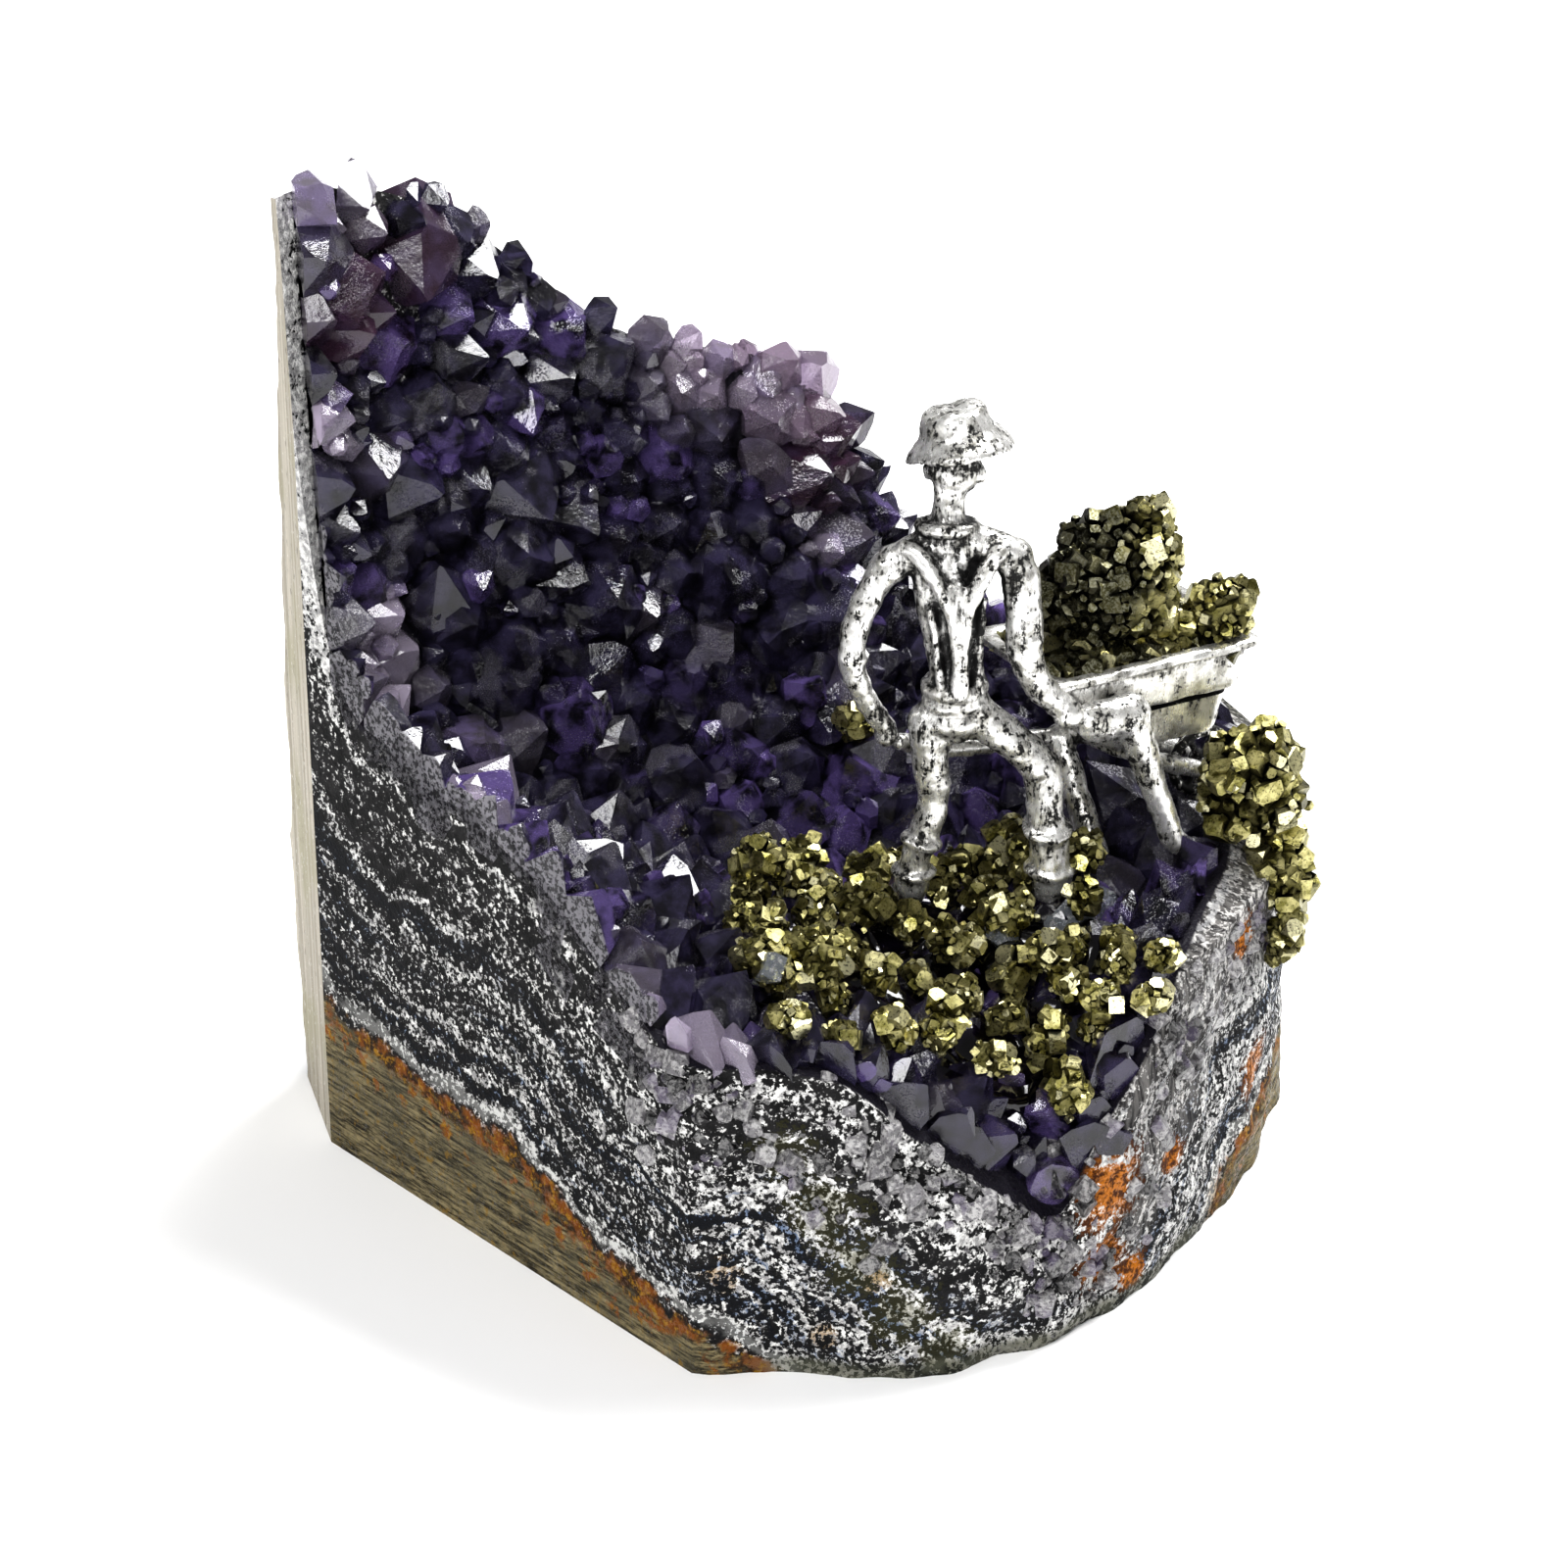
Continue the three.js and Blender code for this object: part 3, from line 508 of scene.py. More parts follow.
def cap(bm, origin, normal):
    """Closes the open cut in a plane with small triangles."""
    across = Vector((0, 0, 1)).cross(normal)
    up = normal.cross(across)
    rim = [e for e in bm.edges if e.is_boundary]
    verts = list({v for e in rim for v in e.verts})
    number = {v: k for k, v in enumerate(verts)}
    flat = [Vector(((v.co - origin).dot(across), (v.co - origin).dot(up))) for v in verts]
    edges = [(number[e.verts[0]], number[e.verts[1]]) for e in rim]
    low = [min(p[k] for p in flat) for k in (0, 1)]
    high = [max(p[k] for p in flat) for k in (0, 1)]
    tree = tree_of([(*p, 0) for p in flat])
    half = CAP_SPACING / 2
    for row, y in enumerate(np.arange(low[1] + half, high[1] - half, CAP_SPACING * 0.87)):
        for x in np.arange(low[0] + half * (1 + row % 2), high[0] - half, CAP_SPACING):
            if tree.find((x, y, 0))[2] > 0.5 * CAP_SPACING:
                flat.append(Vector((x, y)))
    made = geometry.delaunay_2d_cdt(flat, edges, [], 1, 0.0)
    corners = []
    for place, known in zip(made[0], made[3]):
        old = next((k for k in known if k < len(verts)), None)
        if old is None:
            corners.append(bm.verts.new(origin + across * place[0] + up * place[1]))
        else:
            corners.append(verts[old])
    for face in made[2]:
        if len({corners[k] for k in face}) == 3:
            bm.faces.new([corners[k] for k in face])
    for vert in [v for v in corners if not v.link_faces]:
        bm.verts.remove(vert)


def sawn_mesh(points, faces):
    bm = bmesh.new()
    verts = [bm.verts.new(p) for p in points]
    for face in faces:
        bm.faces.new([verts[k] for k in face])
    for origin, normal in SAW_CUTS.values():
        everything = bm.verts[:] + bm.edges[:] + bm.faces[:]
        bmesh.ops.bisect_plane(bm, geom=everything, plane_co=origin, plane_no=normal, clear_outer=True)
        cap(bm, origin, normal)
    bmesh.ops.recalc_face_normals(bm, faces=bm.faces[:])
    return bm


# %% Roughen what was broken or weathered
WEATHERED_FROM = 28.0
WEATHERED_TO = 205.0
WEATHERED_SOFT = 24.0
BROKEN_ROUGHNESS = 1.1
EXTRA_ROUGHNESS = 0.7
BEYOND_SAW = 50.0


def weathering(points):
    """1 on the natural back of the stone, 0 on its broken front, by compass angle."""
    degrees = np.degrees(np.arctan2(points[:, 1] - HOLLOW_Y, points[:, 0] - HOLLOW_X)) % 360
    rise = np.clip((degrees - WEATHERED_FROM + WEATHERED_SOFT / 2) / WEATHERED_SOFT, 0, 1)
    fall = np.clip((WEATHERED_TO - degrees + WEATHERED_SOFT / 2) / WEATHERED_SOFT, 0, 1)
    return rise * fall


stone_points, stone_faces = round_stone()
ring_count = STONE_TURNS * (OUTSIDE_RINGS + 1)
strength = np.zeros(len(stone_points))
strength[:ring_count] = BROKEN_ROUGHNESS + EXTRA_ROUGHNESS * weathering(stone_points[:ring_count])
stone_points = roughened(stone_points, strength, 3.7)
stone_points = np.clip(stone_points, BOX_LOW - [BEYOND_SAW, 0, 0], BOX_HIGH)
bm = sawn_mesh(stone_points, stone_faces)
bmesh.ops.triangulate(bm, faces=[f for f in bm.faces if len(f.verts) > 3])
open_edges = [e for e in bm.edges if not e.is_manifold]
print("sawn stone", len(bm.verts), "points", len(bm.faces), "faces", len(open_edges), "open edges")

# %% [markdown]
# Numbers the stone carries
#
# Agate and quartz grow inwards in layers, so a geode's bands follow the hollow, at equal depth under it.
# Each point of the mesh gets its depth from the nearest sample of the hollow, found with a k-d tree, and
# the material turns depth into bands. A picture painted flat on the section would need no such number, but
# it would not wrap round the corner to the broken side, as the real layers do.

# %% Depth under the crystals
DEPTH_TURNS = 360
DEPTH_SHARES = 60


def hollow_tree():
    turns = np.repeat(np.arange(DEPTH_TURNS) / DEPTH_TURNS * math.tau, DEPTH_SHARES)
    shares = np.tile(np.linspace(0.02, 1.0, DEPTH_SHARES) ** 0.35, DEPTH_TURNS)
    return tree_of(hollow_point(turns, shares))


def points_of(bm):
    return np.array([v.co for v in bm.verts])


depth_tree = hollow_tree()
made_points = points_of(bm)
depth = np.array([depth_tree.find(p)[2] for p in made_points])
on_saw = np.zeros(len(made_points), bool)
for origin, normal in SAW_CUTS.values():
    on_saw |= np.abs((made_points - np.array(origin)) @ np.array(normal)) < 0.01
weathered = weathering(made_points) * ~on_saw
print("depth under the crystals up to", depth.max().round(1), "mm")

# %% [markdown]
# The banded stone
#
# Seen on the section, from the crystals outwards: grey-white coarse quartz, then salt and pepper quartz
# that turns navy in streaks along the layers, a thin white line, a rust line where iron gathered, and
# brown-grey basalt that still shows the strokes of the saw. One material holds all of it. Depth picks the
# band, noise ragged at two sizes breaks its edge, and single patches of rust and olive are placed by balls
# whose edges are torn by noise.

# %% Colours of the section
RUST_DEPTH = 30.0
RUST_SPOTS = [((16.7, -42.0, 15.1), 4.2), ((16.2, -42.4, 7.1), 3.4), ((25.9, -35.7, 13.9), 2.0),
              ((37.5, -25.0, 32.3), 2.6), ((40.9, -21.8, 14.5), 3.2), ((20.5, -40.1, 3.2), 2.4)]
OLIVE_SPOTS = [((-18.1, -43.6, 25.7), 3.0), ((-14.4, -45.4, 20.0), 3.4), ((-10.9, -46.8, 14.0), 3.6),
               ((-7.2, -47.6, 8.2), 3.2), ((-2.9, -48.1, 2.8), 3.2)]
OCHRE_SPOTS = [((-9.6, -47.4, 11.8), 1.5), ((-14.6, -45.4, 4.9), 1.6), ((-45.0, -5.4, 54.5), 1.6),
               ((-24.5, -41.6, 11.6), 2.4), ((33.8, -27.7, 2.5), 2.6)]


def spots(place, torn, places):
    """1 round any of the places, with edges torn by a number from 0 to 1."""
    total = None
    for centre, radius in places:
        away = place.node("ShaderNodeVectorMath", {"operation": "DISTANCE"}, {0: place, 1: centre}, output=1)
        inside = (away + (torn - 0.5) * radius * 6.0).step(radius * 1.1, radius * 0.8)
        total = inside if total is None else total.maths("MAXIMUM", total, inside)
    return total


# %% Numbers that every band reads
def stone_numbers(start):
    """Places and depths in millimetres, and noises from 0 to 1."""
    place = place_mm(start)
    x, y, z = parts_of(place)
    depth = value_of(start, "depth")
    ragged = grain(place, 9.0, 6.0, 0.62)
    torn = grain(place, 2.2, 5.0, 0.65)
    layer = depth + (ragged - 0.5) * 8.0 + (torn - 0.5) * 2.5
    return SimpleNamespace(
        place=place,
        x=x,
        y=y,
        z=z,
        depth=depth,
        ragged=ragged,
        torn=torn,
        layer=layer,
        fine=grain(place, 0.55, 3.0, 0.65),
        coarse=grain(place, 1.0, 5.0, 0.75),
        sheets=grain(joined(layer * 0.6, x * 0.035, z * 0.035), 1.0, 4.0, 0.6),
        open_front=(x + (ragged - 0.5) * 40.0).step(-54, -14),
    )


# %% Salt and pepper quartz with navy streaks
def quartz_grains(s):
    """White grains as fine salt, as lumps, and as salt that turns to lumps near the crystals."""
    strip = s.x.step(-51.6, -53.0) * s.depth.step(3.5, 1.0)
    whiteness = 0.2 + 0.26 * s.open_front + 0.9 * strip + (s.sheets - 0.5) * 2.2 + (s.torn - 0.5) * 1.3
    salt = (s.fine + (whiteness - 0.5) * 0.3).step(0.49, 0.56)
    lumps = (s.coarse * 0.35 + s.fine * 0.65 + (whiteness - 0.5) * 0.28).step(0.48, 0.55)
    coarse_zone = (s.layer - s.open_front * 8).step(14, 3)
    return salt, lumps, salt * (1 - coarse_zone) + lumps * coarse_zone


def quartz_colour(s, salt, grains):
    grey = mix(s.torn.step(0.35, 0.65), rgb("050506"), rgb("232223"))
    colour = mix(grains, grey, mix(s.coarse.step(0.4, 0.65), rgb("8f8e8e"), rgb("f0efec")))
    navy_zone = s.layer.step(9, 15) * s.layer.step(RUST_DEPTH, RUST_DEPTH - 3)
    streaks = s.sheets.step(0.5, 0.42)
    colour = mix(streaks * navy_zone * 0.9, colour, mix(salt, rgb("04070f"), rgb("5a6c88")))
    white_line = s.layer.band(RUST_DEPTH - 1.7, 0.3, 0.6) * s.ragged.step(0.36, 0.5)
    return mix(white_line * (0.25 + 0.7 * salt), colour, rgb("cfcfcc"))


# %% Basalt with saw strokes, and the rust line
def basalt_colour(s):
    long_strokes = grain(stretched(s.place, SECTION_DEGREES, (3.0, 50.0, 0.5)), 1.0, 6.0, 0.7)
    short_strokes = grain(stretched(s.place, SECTION_DEGREES, (1.0, 7.0, 0.28)), 1.0, 5.0, 0.75)
    strokes = long_strokes * 0.55 + short_strokes * 0.45
    basalt = mix(strokes.step(0.42, 0.58), rgb("1c180e"), rgb("8f8362"))
    basalt = mix(grain(s.place, 6.0, 4.0, 0.6).step(0.42, 0.62) * 0.5, basalt, rgb("4d4a3c"))
    basalt = mix(s.fine.step(0.5, 0.62) * 0.4, basalt, rgb("16130d"))
    return mix(grain(s.place, 1.3, 3.0, 0.6).step(0.58, 0.7) * 0.6, basalt, rgb("8a6a22"))


def with_rust_line(s, colour):
    rust_colour = mix(s.torn.step(0.42, 0.6), rgb("241203"), rgb("7a4306"))
    rust_colour = mix(s.coarse.step(0.5, 0.62), rust_colour, rgb("9a7014"))
    line = s.layer.band(RUST_DEPTH + 0.8, 0.7, 0.9) * (s.ragged * 0.6 + s.torn * 0.4).step(0.4, 0.5)
    second_line = s.layer.band(RUST_DEPTH + 3.5, 0.8, 1.5) * s.torn.step(0.54, 0.62)
    line = line.maths("MAXIMUM", line, second_line)
    return mix(line * 0.95, colour, rust_colour)


# %% Fibres, spots and the weathered skin
def quartz_fibres(s):
    """Noise drawn out along the growth of the quartz, and where it shows: on the right, near the crystals."""
    turn = (s.y - HOLLOW_Y).maths("ARCTAN2", s.y - HOLLOW_Y, s.x - HOLLOW_X) * 35.0
    fibres = grain(joined(turn * 1.1, s.depth * 0.14, s.z * 0.06), 1.0, 4.0, 0.7)
    return fibres, s.x.step(14, 22) * s.depth.step(17, 11)


def with_spots(s, colour, lumps, grains):
    ripped = s.torn * 0.5 + s.fine * 0.3 + s.coarse * 0.2
    olive = spots(s.place, ripped, OLIVE_SPOTS) * 0.5
    colour = mix(olive * (0.3 + 0.7 * grains), colour, rgb("5c5a28"))
    colour = mix(spots(s.place, ripped, OCHRE_SPOTS) * 0.6 * lumps, colour, rgb("93702a"))
    rust = mix((s.fine * 0.5 + s.torn * 0.5).step(0.42, 0.56), rgb("421f02"), rgb("b26a08"))
    return mix(spots(s.place, ripped, RUST_SPOTS), colour, rust)


def with_skin(s, colour, weathered, salt):
    skin = mix(grain(s.place, 3.5, 5.0, 0.65).step(0.4, 0.62), rgb("181a15"), rgb("4c4d42"))
    skin = mix(salt * 0.5, skin, rgb("7c7b68"))
    foot_lip = s.z.step(2.6, 1.2) * s.x.step(-24, -16) * s.y.step(-24, -32)
    skinned = weathered * s.layer.step(2, 5)
    skinned = skinned.maths("MAXIMUM", skinned, foot_lip * 0.85)
    return mix(skinned, colour, skin)


# %% One material for all the stone
def look_stone(start):
    s = stone_numbers(start)
    salt, lumps, grains = quartz_grains(s)
    colour = quartz_colour(s, salt, grains)
    colour = mix(s.layer.step(RUST_DEPTH - 0.4, RUST_DEPTH + 0.4), colour, basalt_colour(s))
    colour = with_rust_line(s, colour)
    fibres, right = quartz_fibres(s)
    fibre_colour = mix(fibres.step(0.4, 0.62), rgb("3a3638"), rgb("dedad6"))
    fibre_colour = mix(s.sheets.step(0.52, 0.6) * 0.6, fibre_colour, rgb("4c525a"))
    colour = mix(right * (0.2 + 0.4 * salt), colour, fibre_colour)
    colour = with_spots(s, colour, lumps, grains)
    colour = with_skin(s, colour, value_of(start, "weathered"), salt)
    # Painted shade: the stone just under the crystals, away from the sawn side, is near-black violet, for the
    # shade in the gaps between them.
    colour = mix(s.depth.step(0.9, 0.6) * s.x.step(-52.2, -51.4), colour, rgb("0d0916"))
    height = s.fine * 0.6 + s.coarse * 1.0 + s.torn * 1.4 + fibres * right * 0.5
    return {"Base Color": colour, "Roughness": 0.8 - 0.45 * grains, "Bump": (height, 0.35, 0.9)}


finish_material("stone", look_stone, Specular_IOR_Level=0.25)

# %% The sawn side face and the foot
def look_sawn_side(start):
    place = place_mm(start)
    streaks = grain(stretched(place, 0, (1, 1.1, 40.0)), 1.0, 5.0, 0.6)
    cloud = grain(place, 14.0, 3.0, 0.5)
    specks = grain(place, 0.7, 3.0, 0.7).step(0.6, 0.68)
    colour = mix(streaks.step(0.32, 0.68), rgb("8b8373"), rgb("bdb6a8"))
    colour = mix(cloud.step(0.45, 0.65) * 0.6, colour, rgb("918c6c"))
    colour = mix(specks * 0.7, colour, rgb("dedcd4"))
    colour = mix(grain(place, 1.4, 3.0, 0.6).step(0.6, 0.7) * 0.6, colour, rgb("4f4a3f"))
    height = streaks + specks * 0.4
    return {"Base Color": colour, "Roughness": 0.55 + 0.3 * streaks, "Bump": (height, 0.12, 0.7)}


def look_sawn_base(start):
    place = place_mm(start)
    strokes = grain(stretched(place, 40, (0.5, 70.0, 1)), 1.0, 4.0, 0.6)
    colour = mix(strokes.step(0.3, 0.7), rgb("4b463d"), rgb("7c7566"))
    colour = mix(grain(place, 2.0, 5.0, 0.65).step(0.5, 0.62) * 0.6, colour, rgb("33322f"))
    return {"Base Color": colour, "Roughness": 0.7 + 0.2 * strokes, "Bump": (strokes, 0.1, 0.6)}


finish_material("sawn side", look_sawn_side)
finish_material("sawn base", look_sawn_base)


# %% Make the stone piece
def stone_piece(bm):
    bm.verts.index_update()
    bm.normal_update()
    faces = [tuple(v.index for v in f.verts) for f in bm.faces]
    piece = mesh_piece("stone_dressed", made_points, faces, ["stone", "sawn side", "sawn base"],
                       values={"depth": depth, "weathered": weathered})
    kinds = []
    for face in bm.faces:
        on_side = face.normal.x < -0.999 and face.calc_center_median().x < BOX_LOW[0] + 0.05
        kinds.append(1 if on_side else 2 if face.normal.z < -0.99 else 0)
    piece.data.polygons.foreach_set("material_index", kinds)
    bm.free()
    dress(piece, "stone", "stone")


stone_piece(bm)

# %% [markdown]
# Solids from flat faces
#
# A crystal is bounded by flat faces, and so are a pyrite cube and a chip of quartz. The plainest way to say
# such a shape is a list of planes: the solid is everything that lies behind all of them. Its corners are
# where three planes cross, kept only if no other plane cuts them off. Doing this for thousands of solids at
# once in numpy takes a second, and a saw cut or a limit is only one more plane in the list.

# %% Many convex solids at once
BATCH = 200


def convex_solids(normals, offsets, tolerance=1e-4):
    """Points, faces and the number of each point's solid, for solids of planes normal . x <= offset."""
    count, planes, _ = normals.shape
    triples = np.array(list(itertools.combinations(range(planes), 3)))
    points, faces, owner = [], [], []
    total = 0
    for start in range(0, count, BATCH):
        n, d = normals[start : start + BATCH], offsets[start : start + BATCH]
        matrix, right = n[:, triples], d[:, triples]
        good = np.abs(np.linalg.det(matrix)) > 1e-3
        corner = np.full(right.shape, np.inf)
        corner[good] = np.linalg.solve(matrix[good], right[good][..., None])[..., 0]
        with np.errstate(invalid="ignore"):
            reach = np.einsum("ctk,cpk->ctp", corner, n)
        inside = good & (reach <= d[:, None, :] + tolerance).all(axis=2)
        for solid in range(len(n)):
            kept = np.nonzero(inside[solid])[0]
            if len(kept) < 4:
                continue
            places = corner[solid, kept]
            _, first, same = np.unique(places.round(3), axis=0, return_index=True, return_inverse=True)
            same = same.reshape(-1)
            middle = places[first].mean(axis=0)
            ring_faces = []
            for plane in range(planes):
                on_plane = np.unique(same[(triples[kept] == plane).any(axis=1)])
                if len(on_plane) < 3:
                    continue
                normal = n[solid, plane]
                side = np.cross(normal, [0.31, 0.57, 0.76])
                side /= np.linalg.norm(side)
                rel = places[first][on_plane] - middle
                rel = rel - rel.mean(axis=0)
                turn = np.arctan2(rel @ np.cross(normal, side), rel @ side)
                ring_faces.append(tuple(on_plane[np.argsort(turn)] + total))
            if len(ring_faces) < 4:
                continue
            points.append(places[first])
            faces += ring_faces
            owner += [start + solid] * len(first)
            total += len(first)
    return np.concatenate(points), faces, np.array(owner)


def frames_along(axes, turns):
    """For each axis two directions across it, turned by an angle."""
    help_axis = np.where(np.abs(axes[:, 2:]) < 0.9, [[0, 0, 1.0]], [[1.0, 0, 0]])
    side = np.cross(axes, help_axis)
    side /= np.linalg.norm(side, axis=1, keepdims=True)
    other = np.cross(axes, side)
    c, s = np.cos(turns)[:, None], np.sin(turns)[:, None]
    return side * c + other * s, other * c - side * s


# %% Cubes with cut corners
def random_turns(random, count):
    """Turning matrices for so many crystals, even in every direction."""
    q = random.normal(size=(count, 4))
    w, x, y, z = (q / np.linalg.norm(q, axis=1, keepdims=True)).T
    rows = [[1 - 2 * (y * y + z * z), 2 * (x * y - z * w), 2 * (x * z + y * w)],
            [2 * (x * y + z * w), 1 - 2 * (x * x + z * z), 2 * (y * z - x * w)],
            [2 * (x * z - y * w), 2 * (y * z + x * w), 1 - 2 * (x * x + y * y)]]
    return np.moveaxis(np.array(rows), 2, 0)


def cut_cubes(centres, halves, random, cut=1.6):
    """Cubes with cut corners: points, faces, owners, and each point's way along one edge."""
    count = len(centres)
    turns = random_turns(random, count)
    normals, offsets = [], []
    for axis in range(3):
        for sign in (1, -1):
            normals.append(turns[:, :, axis] * sign)
            offsets.append(halves * (0.75 + 0.5 * random.random(count)))
    for signs in itertools.product((1, -1), repeat=3):
        corner = (turns @ np.array(signs)) / math.sqrt(3)
        normals.append(corner)
        offsets.append(halves * (cut - 0.25 + 0.35 * random.random(count)))
    normals, offsets = np.stack(normals, axis=1), np.stack(offsets, axis=1)
    offsets += np.einsum("cpk,ck->cp", normals, centres)
    points, faces, owner = convex_solids(normals, offsets)
    stripe = np.einsum("pk,pk->p", points - centres[owner], turns[owner, :, 0])
    return points, faces, owner, stripe


# %% [markdown]
# The amethyst points
#
# The crust in the frame has one plain pyramid for each large crystal. Here the same seeded scatter is
# repeated, and each site gets a real quartz point: six sides and six pyramid faces at quartz's own angle,
# three of them larger than the others. Smaller points fill the gaps and sit on the flanks of the large
# ones, as a second growth does. The scatter keeps a distance between neighbours that depends on their size,
# which looks grown; a plain grid with jitter still shows its rows.

# %% Sites of the large crystals
CRYSTAL_SEED = 20117
CRYSTAL_TRIES = 9000
OUTER_SHARE = 1.5
CRYSTAL_SPACING = 7.0
RIM_SPACING = 5.2
CRYSTAL_HEIGHT = 0.56
VALLEY_LIFT = 1.6
RUN_FACTOR = 16807
RUN_SIZE = 2147483647


def number_run(seed):
    """The same repeatable numbers from 0 to 1 that the frame's scatter drew."""
    state = seed
    while True:
        state = state * RUN_FACTOR % RUN_SIZE
        yield state / RUN_SIZE


def large_sites():
    run = number_run(CRYSTAL_SEED)
    kept, places, spacings = [], np.zeros((0, 3)), np.zeros(0)
    for _ in range(CRYSTAL_TRIES):
        angle = next(run) * math.tau
        share = math.sqrt(next(run)) * (OUTER_SHARE - 0.02)
        place = hollow_point(np.array(angle), np.array(share))
        calm = min(max((share - 0.75) / 0.2, 0), 1)
        calm = calm * calm * (3 - 2 * calm)
        spacing = (CRYSTAL_SPACING + (RIM_SPACING - CRYSTAL_SPACING) * calm) * (0.72 + 0.5 * next(run))
        if len(kept) == 0 or (np.linalg.norm(places - place, axis=1) > (spacing + spacings) / 2).all():
            kept.append((angle, share, spacing, next(run), next(run)))
            places = np.vstack([places, place])
            spacings = np.append(spacings, spacing)
    return np.array(kept)


sites = large_sites()
sites = sites[sites[:, 1] < OUTER_SHARE - 0.12]
print("large crystal sites", len(sites))

# %% Random spots on a node
def random_spots(node, tries, random):
    """Places and flat normals spread evenly over a node, and the node's own mesh, in millimetres."""
    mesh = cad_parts[node].data
    mesh.calc_loop_triangles()
    points = np.array([v.co for v in mesh.vertices]) / MM
    faces = [tuple(t.vertices) for t in mesh.loop_triangles]
    corners = points[np.array(faces)]
    cross = np.cross(corners[:, 1] - corners[:, 0], corners[:, 2] - corners[:, 0])
    area = np.linalg.norm(cross, axis=1) / 2
    tries = tries(area.sum()) if callable(tries) else tries
    chosen = random.choice(len(area), tries, p=area / area.sum())
    u, v = random.random((2, tries))
    u, v = np.where(u + v > 1, 1 - u, u), np.where(u + v > 1, 1 - v, v)
    spots = corners[chosen, 0] + (corners[chosen, 1] - corners[chosen, 0]) * u[:, None]
    spots += (corners[chosen, 2] - corners[chosen, 0]) * v[:, None]
    return spots, cross[chosen] / (2 * area[chosen])[:, None], points, faces


def spread_out(spots, widths, share, others=(), other_widths=()):
    """Which spots keep their share of the two widths between them and every spot kept before."""
    places, wide = list(others), list(other_widths)
    kept = []
    for k, (spot, width) in enumerate(zip(spots, widths)):
        apart = np.linalg.norm(np.array(places).reshape(-1, 3) - spot, axis=1)
        if (apart > (width + np.array(wide)) * share).all():
            kept.append(k)
            places.append(spot)
            wide.append(width)
    return kept


# %% Limits for the crystals
# No crystal reaches past the rim, and along the broken front the limit lies a little inside it.
FRONT_SETBACK = 0.6
RIM_STEP = 2.5
RIM_PULL = 1.3
# The sawn side keeps a bare strip of stone, and the highest tips stay clear of the box.
SIDE_STRIP = 1.9
TOP_CLEARANCE = 4.0
CROWD_GAP = 0.2
TIP_HIGH = np.array([BOX_HIGH[0], BOX_HIGH[1], BOX_HIGH[2] - TOP_CLEARANCE])
CROWDED = []
for node_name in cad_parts:
    if node_name.startswith(("pyrite_load", "pyrite_cluster", "miner", "barrow")):
        low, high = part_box(node_name)
        CROWDED.append((np.array(low) / MM - CROWD_GAP, np.array(high) / MM + CROWD_GAP))


def is_crowded(tip):
    """True where another piece stands, so that no crystal is put through it."""
    return any((tip > low).all() and (tip < high).all() for low, high in CROWDED)


# %% Second growth on the crust
SMALL_SEED = 5
SMALL_TRIES = 16000
SMALL_WIDTHS = (1.8, 9.0)
SMALL_BIAS = 1.6
RIM_SHRINK = 0.3
ROOT_SINK = 1.2
TIP_SHARE = 0.62
CLOSE_SHARE = 0.35
LEAN = 0.3
random = np.random.default_rng(SMALL_SEED)
depsgraph = bpy.context.evaluated_depsgraph_get()
crust_tree = bvhtree.BVHTree.FromObject(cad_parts["amethyst_crust"], depsgraph)


def large_shapes():
    """Root, tip, radius and width of the seeded crystals that stand on the stone."""
    rows = []
    for angle, share, spacing, turn, lean in sites:
        place = hollow_point(np.array(angle), np.array(share))
        front = 1 - weathering(place[None])[0]
        if (share - 1) * station_at(angle)[1] > RIM_STEP * (1 - RIM_PULL * front):
            continue
        normal = hollow_normal(np.array(angle), np.array(share))
        sideways = np.array([math.cos(turn * math.tau), math.sin(turn * math.tau), 0])
        sideways -= normal * (sideways @ normal)
        height = VALLEY_LIFT + CRYSTAL_HEIGHT * spacing * (0.8 + 0.45 * lean)
        tip = place + normal * height + sideways * LEAN * lean * spacing
        tip[2] = min(tip[2], TIP_HIGH[2])
        rows.append((*(place - normal * ROOT_SINK), *tip, spacing * (0.5 + 0.12 * turn), spacing))
    return np.array(rows)


def second_growth(large):
    """The same for crystals that fill the gaps, largest first."""
    spots, normals, _, _ = random_spots("amethyst_crust", SMALL_TRIES, random)
    widths = SMALL_WIDTHS[0] + (SMALL_WIDTHS[1] - SMALL_WIDTHS[0]) * random.random(SMALL_TRIES) ** SMALL_BIAS
    order = np.argsort(-widths)
    spots, normals, widths = spots[order], normals[order], widths[order]
    turns = np.arctan2(spots[:, 1] - HOLLOW_Y, spots[:, 0] - HOLLOW_X)
    shares = np.hypot(spots[:, 0] - HOLLOW_X, spots[:, 1] - HOLLOW_Y) / station_at(turns)[:, 1]
    out = hollow_normal(turns, np.minimum(shares, 0.99))
    good = ((normals * out).sum(axis=1) > 0.1) & (shares < 1.0)
    near_rim = (1 - weathering(spots)) * np.clip((shares - 0.78) / 0.18, 0, 1)
    widths = widths * (1 - RIM_SHRINK * near_rim)
    spots, widths, out = spots[good], widths[good], out[good]
    middles = large[:, 3:6] * TIP_SHARE + large[:, :3] * (1 - TIP_SHARE)
    kept = spread_out(spots, widths, CLOSE_SHARE, middles, large[:, 7] * 0.95)
    spots, widths, out = spots[kept], widths[kept], out[kept]
    lean = out + random.normal(size=out.shape) * LEAN
    lean /= np.linalg.norm(lean, axis=1, keepdims=True)
    tips = spots + lean * (0.2 + 0.34 * widths[:, None])
    roots = spots - lean * 1.1 * widths[:, None]
    clear = [not is_crowded(t) and (t > BOX_LOW).all() and (t < TIP_HIGH).all() for t in tips]
    return np.hstack([roots, tips, widths[:, None] * 0.52, widths[:, None]])[clear]


# %% Build every quartz point
PYRAMID_TILT = math.radians(38.2)


